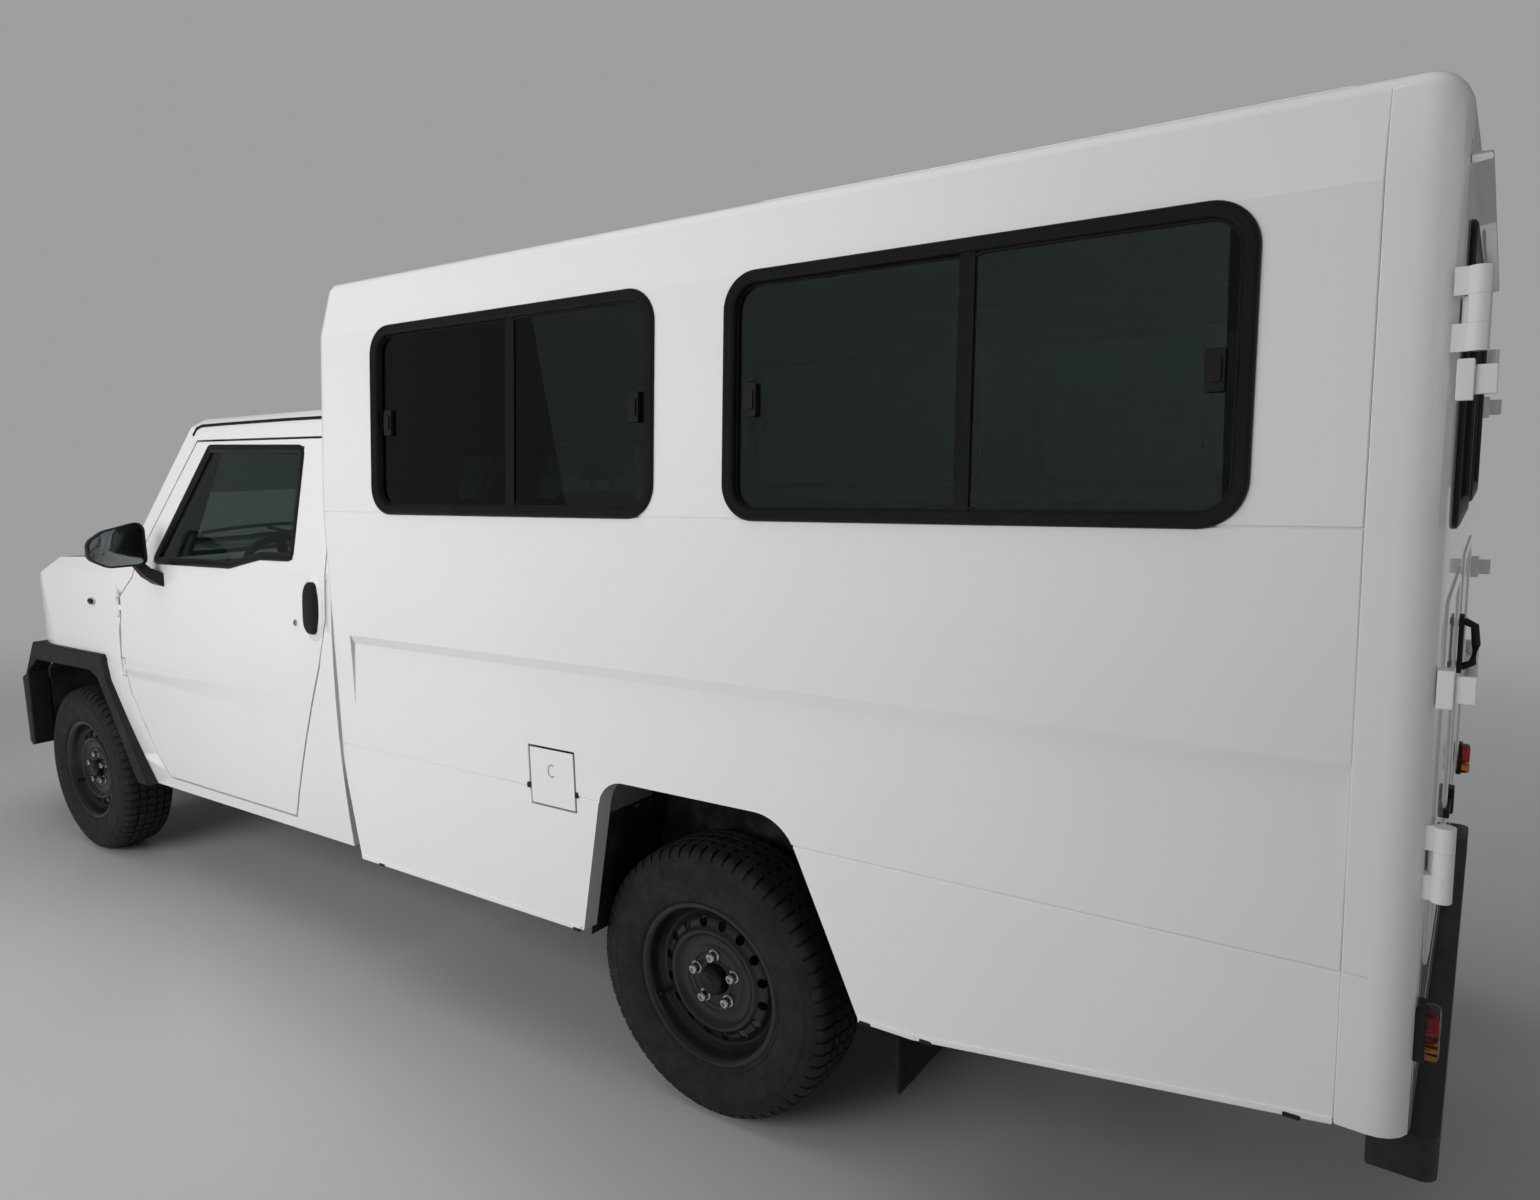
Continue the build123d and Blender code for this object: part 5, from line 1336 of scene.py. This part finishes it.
piece("seatFrames", *joined(*seatFrame), "chassisBlack", "chassis", "chassis_black", edge=3.0)
print("cushions made")

# steering wheel and dashboard
wheelLook = {"spot": (410.0, -985.0, 1120.0), "tiltDeg": 58.0, "ring": 188.0, "thick": 13.5}


def columnSpace(x, y, z):
    a = math.radians(wheelLook["tiltDeg"])
    cx, cy, cz = wheelLook["spot"]
    return (cx + x, cy + y * math.cos(a) + z * math.sin(a), cz - y * math.sin(a) + z * math.cos(a))


def ringMesh(big, small, steps=72, sides=14):
    verts, faces = [], []
    for i in range(steps):
        a = 2 * math.pi * i / steps
        for k in range(sides):
            w = 2 * math.pi * k / sides
            r = big + small * math.cos(w)
            verts.append(columnSpace(r * math.cos(a), r * math.sin(a), small * math.sin(w)))
    for i in range(steps):
        for k in range(sides):
            j, m = (i + 1) % steps, (k + 1) % sides
            faces.append((i * sides + k, i * sides + m, j * sides + m, j * sides + k))
    return verts, faces


def columnPlane(x, y, out):
    return columnSpace(x, y, out)


hubPad = domeMesh(0, -8, 84, 70, columnPlane, [(1.0, -20), (1.0, 2), (0.94, 10), (0.8, 16), (0.5, 19), (0.2, 20)], 3.0)
spokes = []
for angle, wide in ((0, 30), (180, 30), (270, 36)):
    a = math.radians(angle)
    path = []
    for reach, half in ((60, wide * 0.75), (120, wide * 0.5), (184, wide * 0.42)):
        path.append((reach, half))
    pts = [(r, -h) for r, h in path] + [(r, h) for r, h in reversed(path)]
    pts = [(r * math.cos(a) - h * math.sin(a), r * math.sin(a) + h * math.cos(a)) for r, h in pts]
    spokes.append(plateMesh(pts, columnPlane, -8, 5))
piece("steeringRing", *joined(ringMesh(wheelLook["ring"], wheelLook["thick"]), hubPad, *spokes), "blackPlastic",
      "steering_wheel", "grey_plastic", angle=50, replaces=["steering_wheel"])
dashSection = [(-1382, 905), (-1382, 1150), (-1330, 1172), (-1250, 1176), (-1190, 1160), (-1160, 1120), (-1168, 1040),
               (-1190, 960), (-1230, 915)]
dashVerts, dashFaces = [], []
stations = [(-734, 0.0), (-600, 0.0), (150, 0.0), (250, 0.0), (290, 1.0), (530, 1.0), (570, 0.0), (734, 0.0)]
for x, hood in stations:
    for y, z in dashSection:
        dashVerts.append((x, y - 0 * hood, z + (26 * hood if z > 1140 and y > -1340 else 0)))
ring = len(dashSection)
for i in range(len(stations) - 1):
    for k in range(ring):
        m = (k + 1) % ring
        dashFaces.append((i * ring + k, i * ring + m, (i + 1) * ring + m, (i + 1) * ring + k))
dashFaces += [tuple(range(ring)), tuple(range((len(stations) - 1) * ring, len(stations) * ring))]
shroud = tubeMesh([columnSpace(0, 0, -250), columnSpace(0, 0, -120), columnSpace(0, 0, -40)], 34, 18)
stalks = [tubeMesh([columnSpace(s * 30, 10, -62), columnSpace(s * 110, 16, -58), columnSpace(s * 172, 22, -50)], 6.5, 10)
          for s in (1, -1)]
piece("dashBody", *joined((dashVerts, dashFaces), shroud), "greyPlastic", "chassis", "grey_plastic", edge=12.0,
      segments=3, replaces=["dashboard"], angle=45)
stack = [cuboidMesh(-110, 110, -1172, -1152, 985, 1120), cuboidMesh(-90, 90, -1153, -1148, 1060, 1112)]
vents = [cuboidMesh(x - 52, x + 52, -1166, -1150, 1072, 1122) for x in (-640, -230, 215, 650)]
dial = [latheMesh([(-6, 0.2), (-6, 20), (6, 18), (8, 0.2)], 20, (x, -1150, 1010)) for x in (-60, 0, 60)]
piece("dashPanels", *joined(*stack, *vents, *stalks), "glossBlack", "chassis", "black_plastic", edge=3.0)
print("cab inside made")

# studio: floor, backdrop, lamps, camera
studio = {"floorTone": (0.42, 0.424, 0.418), "wallTone": (0.34, 0.345, 0.345), "fadeFrom": 2.7, "fadeTo": 8.0,
          "worldLevel": 0.155}


def floorFinish(name, colour, far, near, rough=0.3):
    # runs into the backdrop's tone with distance, so no hard line is left between the two
    f = Finish(name, rough=rough, specular=0.35)
    f.feed("Base Color", f.tint(f.span(f.noise(0.9, 3.0), 0.0, 1.0), colour, tuple(c * 1.03 for c in colour)))
    reach = f.node("ShaderNodeVectorMath", {"operation": "LENGTH"}, {0: f.node("ShaderNodeTexCoord", output=3)}, 1)
    fade = f.node("ShaderNodeMapRange", {"interpolation_type": "SMOOTHSTEP"}, {0: reach, 1: near, 2: studio["fadeTo"],
                                                                                3: 0.0, 4: 1.0})
    glow = f.node("ShaderNodeEmission", {}, {"Color": (*far, 1), "Strength": 1.0})
    mixed = f.node("ShaderNodeMixShader", {}, {0: fade, 1: Wire(f, f.shader.outputs[0]), 2: glow})
    f.tree.links.new(mixed.socket, f.end.inputs[0])
    finishes[name] = f.mat


floorFinish("studioFloor", studio["floorTone"], studio["wallTone"], studio["fadeFrom"])


def stageMesh(name, verts, faces, finish):
    mesh = bpy.data.meshes.new(name)
    mesh.from_pydata(verts, [], faces)
    obj = bpy.data.objects.new(name, mesh)
    scene.collection.objects.link(obj)
    mesh.materials.append(finishes[finish])
    for face in mesh.polygons:
        face.use_smooth = True
    return obj


stageMesh("floor", [(-40, -40, 0), (40, -40, 0), (40, 40, 0), (-40, 40, 0)], [(0, 1, 2, 3)], "studioFloor")

world = bpy.data.worlds.new("softRoom")
scene.world = world
world.use_nodes = True
tree = world.node_tree
tree.nodes.clear()
ground = tree.nodes.new("ShaderNodeBackground")
ground.inputs["Color"].default_value = (0.93, 0.96, 1.0, 1)
ground.inputs["Strength"].default_value = studio["worldLevel"]
sky = tree.nodes.new("ShaderNodeBackground")
sky.inputs["Color"].default_value = (*studio["wallTone"], 1)
sky.inputs["Strength"].default_value = 1.0
rays = tree.nodes.new("ShaderNodeLightPath")
blend = tree.nodes.new("ShaderNodeMixShader")
out = tree.nodes.new("ShaderNodeOutputWorld")
tree.links.new(rays.outputs["Is Camera Ray"], blend.inputs[0])
tree.links.new(ground.outputs[0], blend.inputs[1])
tree.links.new(sky.outputs[0], blend.inputs[2])
tree.links.new(blend.outputs[0], out.inputs[0])


def areaLamp(name, spot, aim, size, power, colour=(1, 1, 1), mirrored=True, spreadDeg=180.0):
    data = bpy.data.lights.new(name, "AREA")
    data.shape = "RECTANGLE"
    data.size, data.size_y = size
    data.energy = power
    data.spread = math.radians(spreadDeg)
    data.color = colour
    lamp = bpy.data.objects.new(name, data)
    lamp.location = spot
    lamp.rotation_euler = (Vector(aim) - Vector(spot)).to_track_quat("-Z", "Y").to_euler()
    lamp.visible_camera = False
    lamp.visible_glossy = mirrored
    scene.collection.objects.link(lamp)


areaLamp("key", (4.6, -0.75, 2.4), (0.885, -0.45, 1.0), (4.5, 2.6), 67.0, mirrored=False, spreadDeg=110.0)
areaLamp("top", (0.3, -1.0, 6.5), (0.0, -0.6, 1.0), (7.0, 7.0), 270.0, mirrored=False)
areaLamp("rear", (1.0, 7.0, 3.0), (0.0, 1.0, 1.0), (4.0, 3.0), 14.0)
areaLamp("far", (-6.5, -1.0, 4.0), (0.0, 0.0, 1.0), (5.0, 3.0), 105.0)

view = {"spot": (2.57196, 2.67343, 1.56251), "yaw": 0.9611, "pitch": 0.1466, "roll": -0.0134, "lens": 24.405}
fwd = Vector((-math.sin(view["yaw"]) * math.cos(view["pitch"]), -math.cos(view["yaw"]) * math.cos(view["pitch"]),
              -math.sin(view["pitch"])))
right = Vector((-math.cos(view["yaw"]), math.sin(view["yaw"]), 0))
up = right.cross(fwd)
c, s = math.cos(view["roll"]), math.sin(view["roll"])
rightTurned, upTurned = right * c + up * s, up * c - right * s
eye = bpy.data.cameras.new("photoCamera")
eye.lens = view["lens"]
eye.sensor_width = 36.0
eye.clip_start = 0.02
eye.clip_end = 200
camera = bpy.data.objects.new("photoCamera", eye)
scene.collection.objects.link(camera)
pose = Matrix((rightTurned, upTurned, -fwd)).transposed().to_4x4()
pose.translation = Vector(view["spot"])
camera.matrix_world = pose
scene.camera = camera
bpy.context.scene.camera = camera
scene.view_settings.view_transform = "Standard"
print("studio ready")
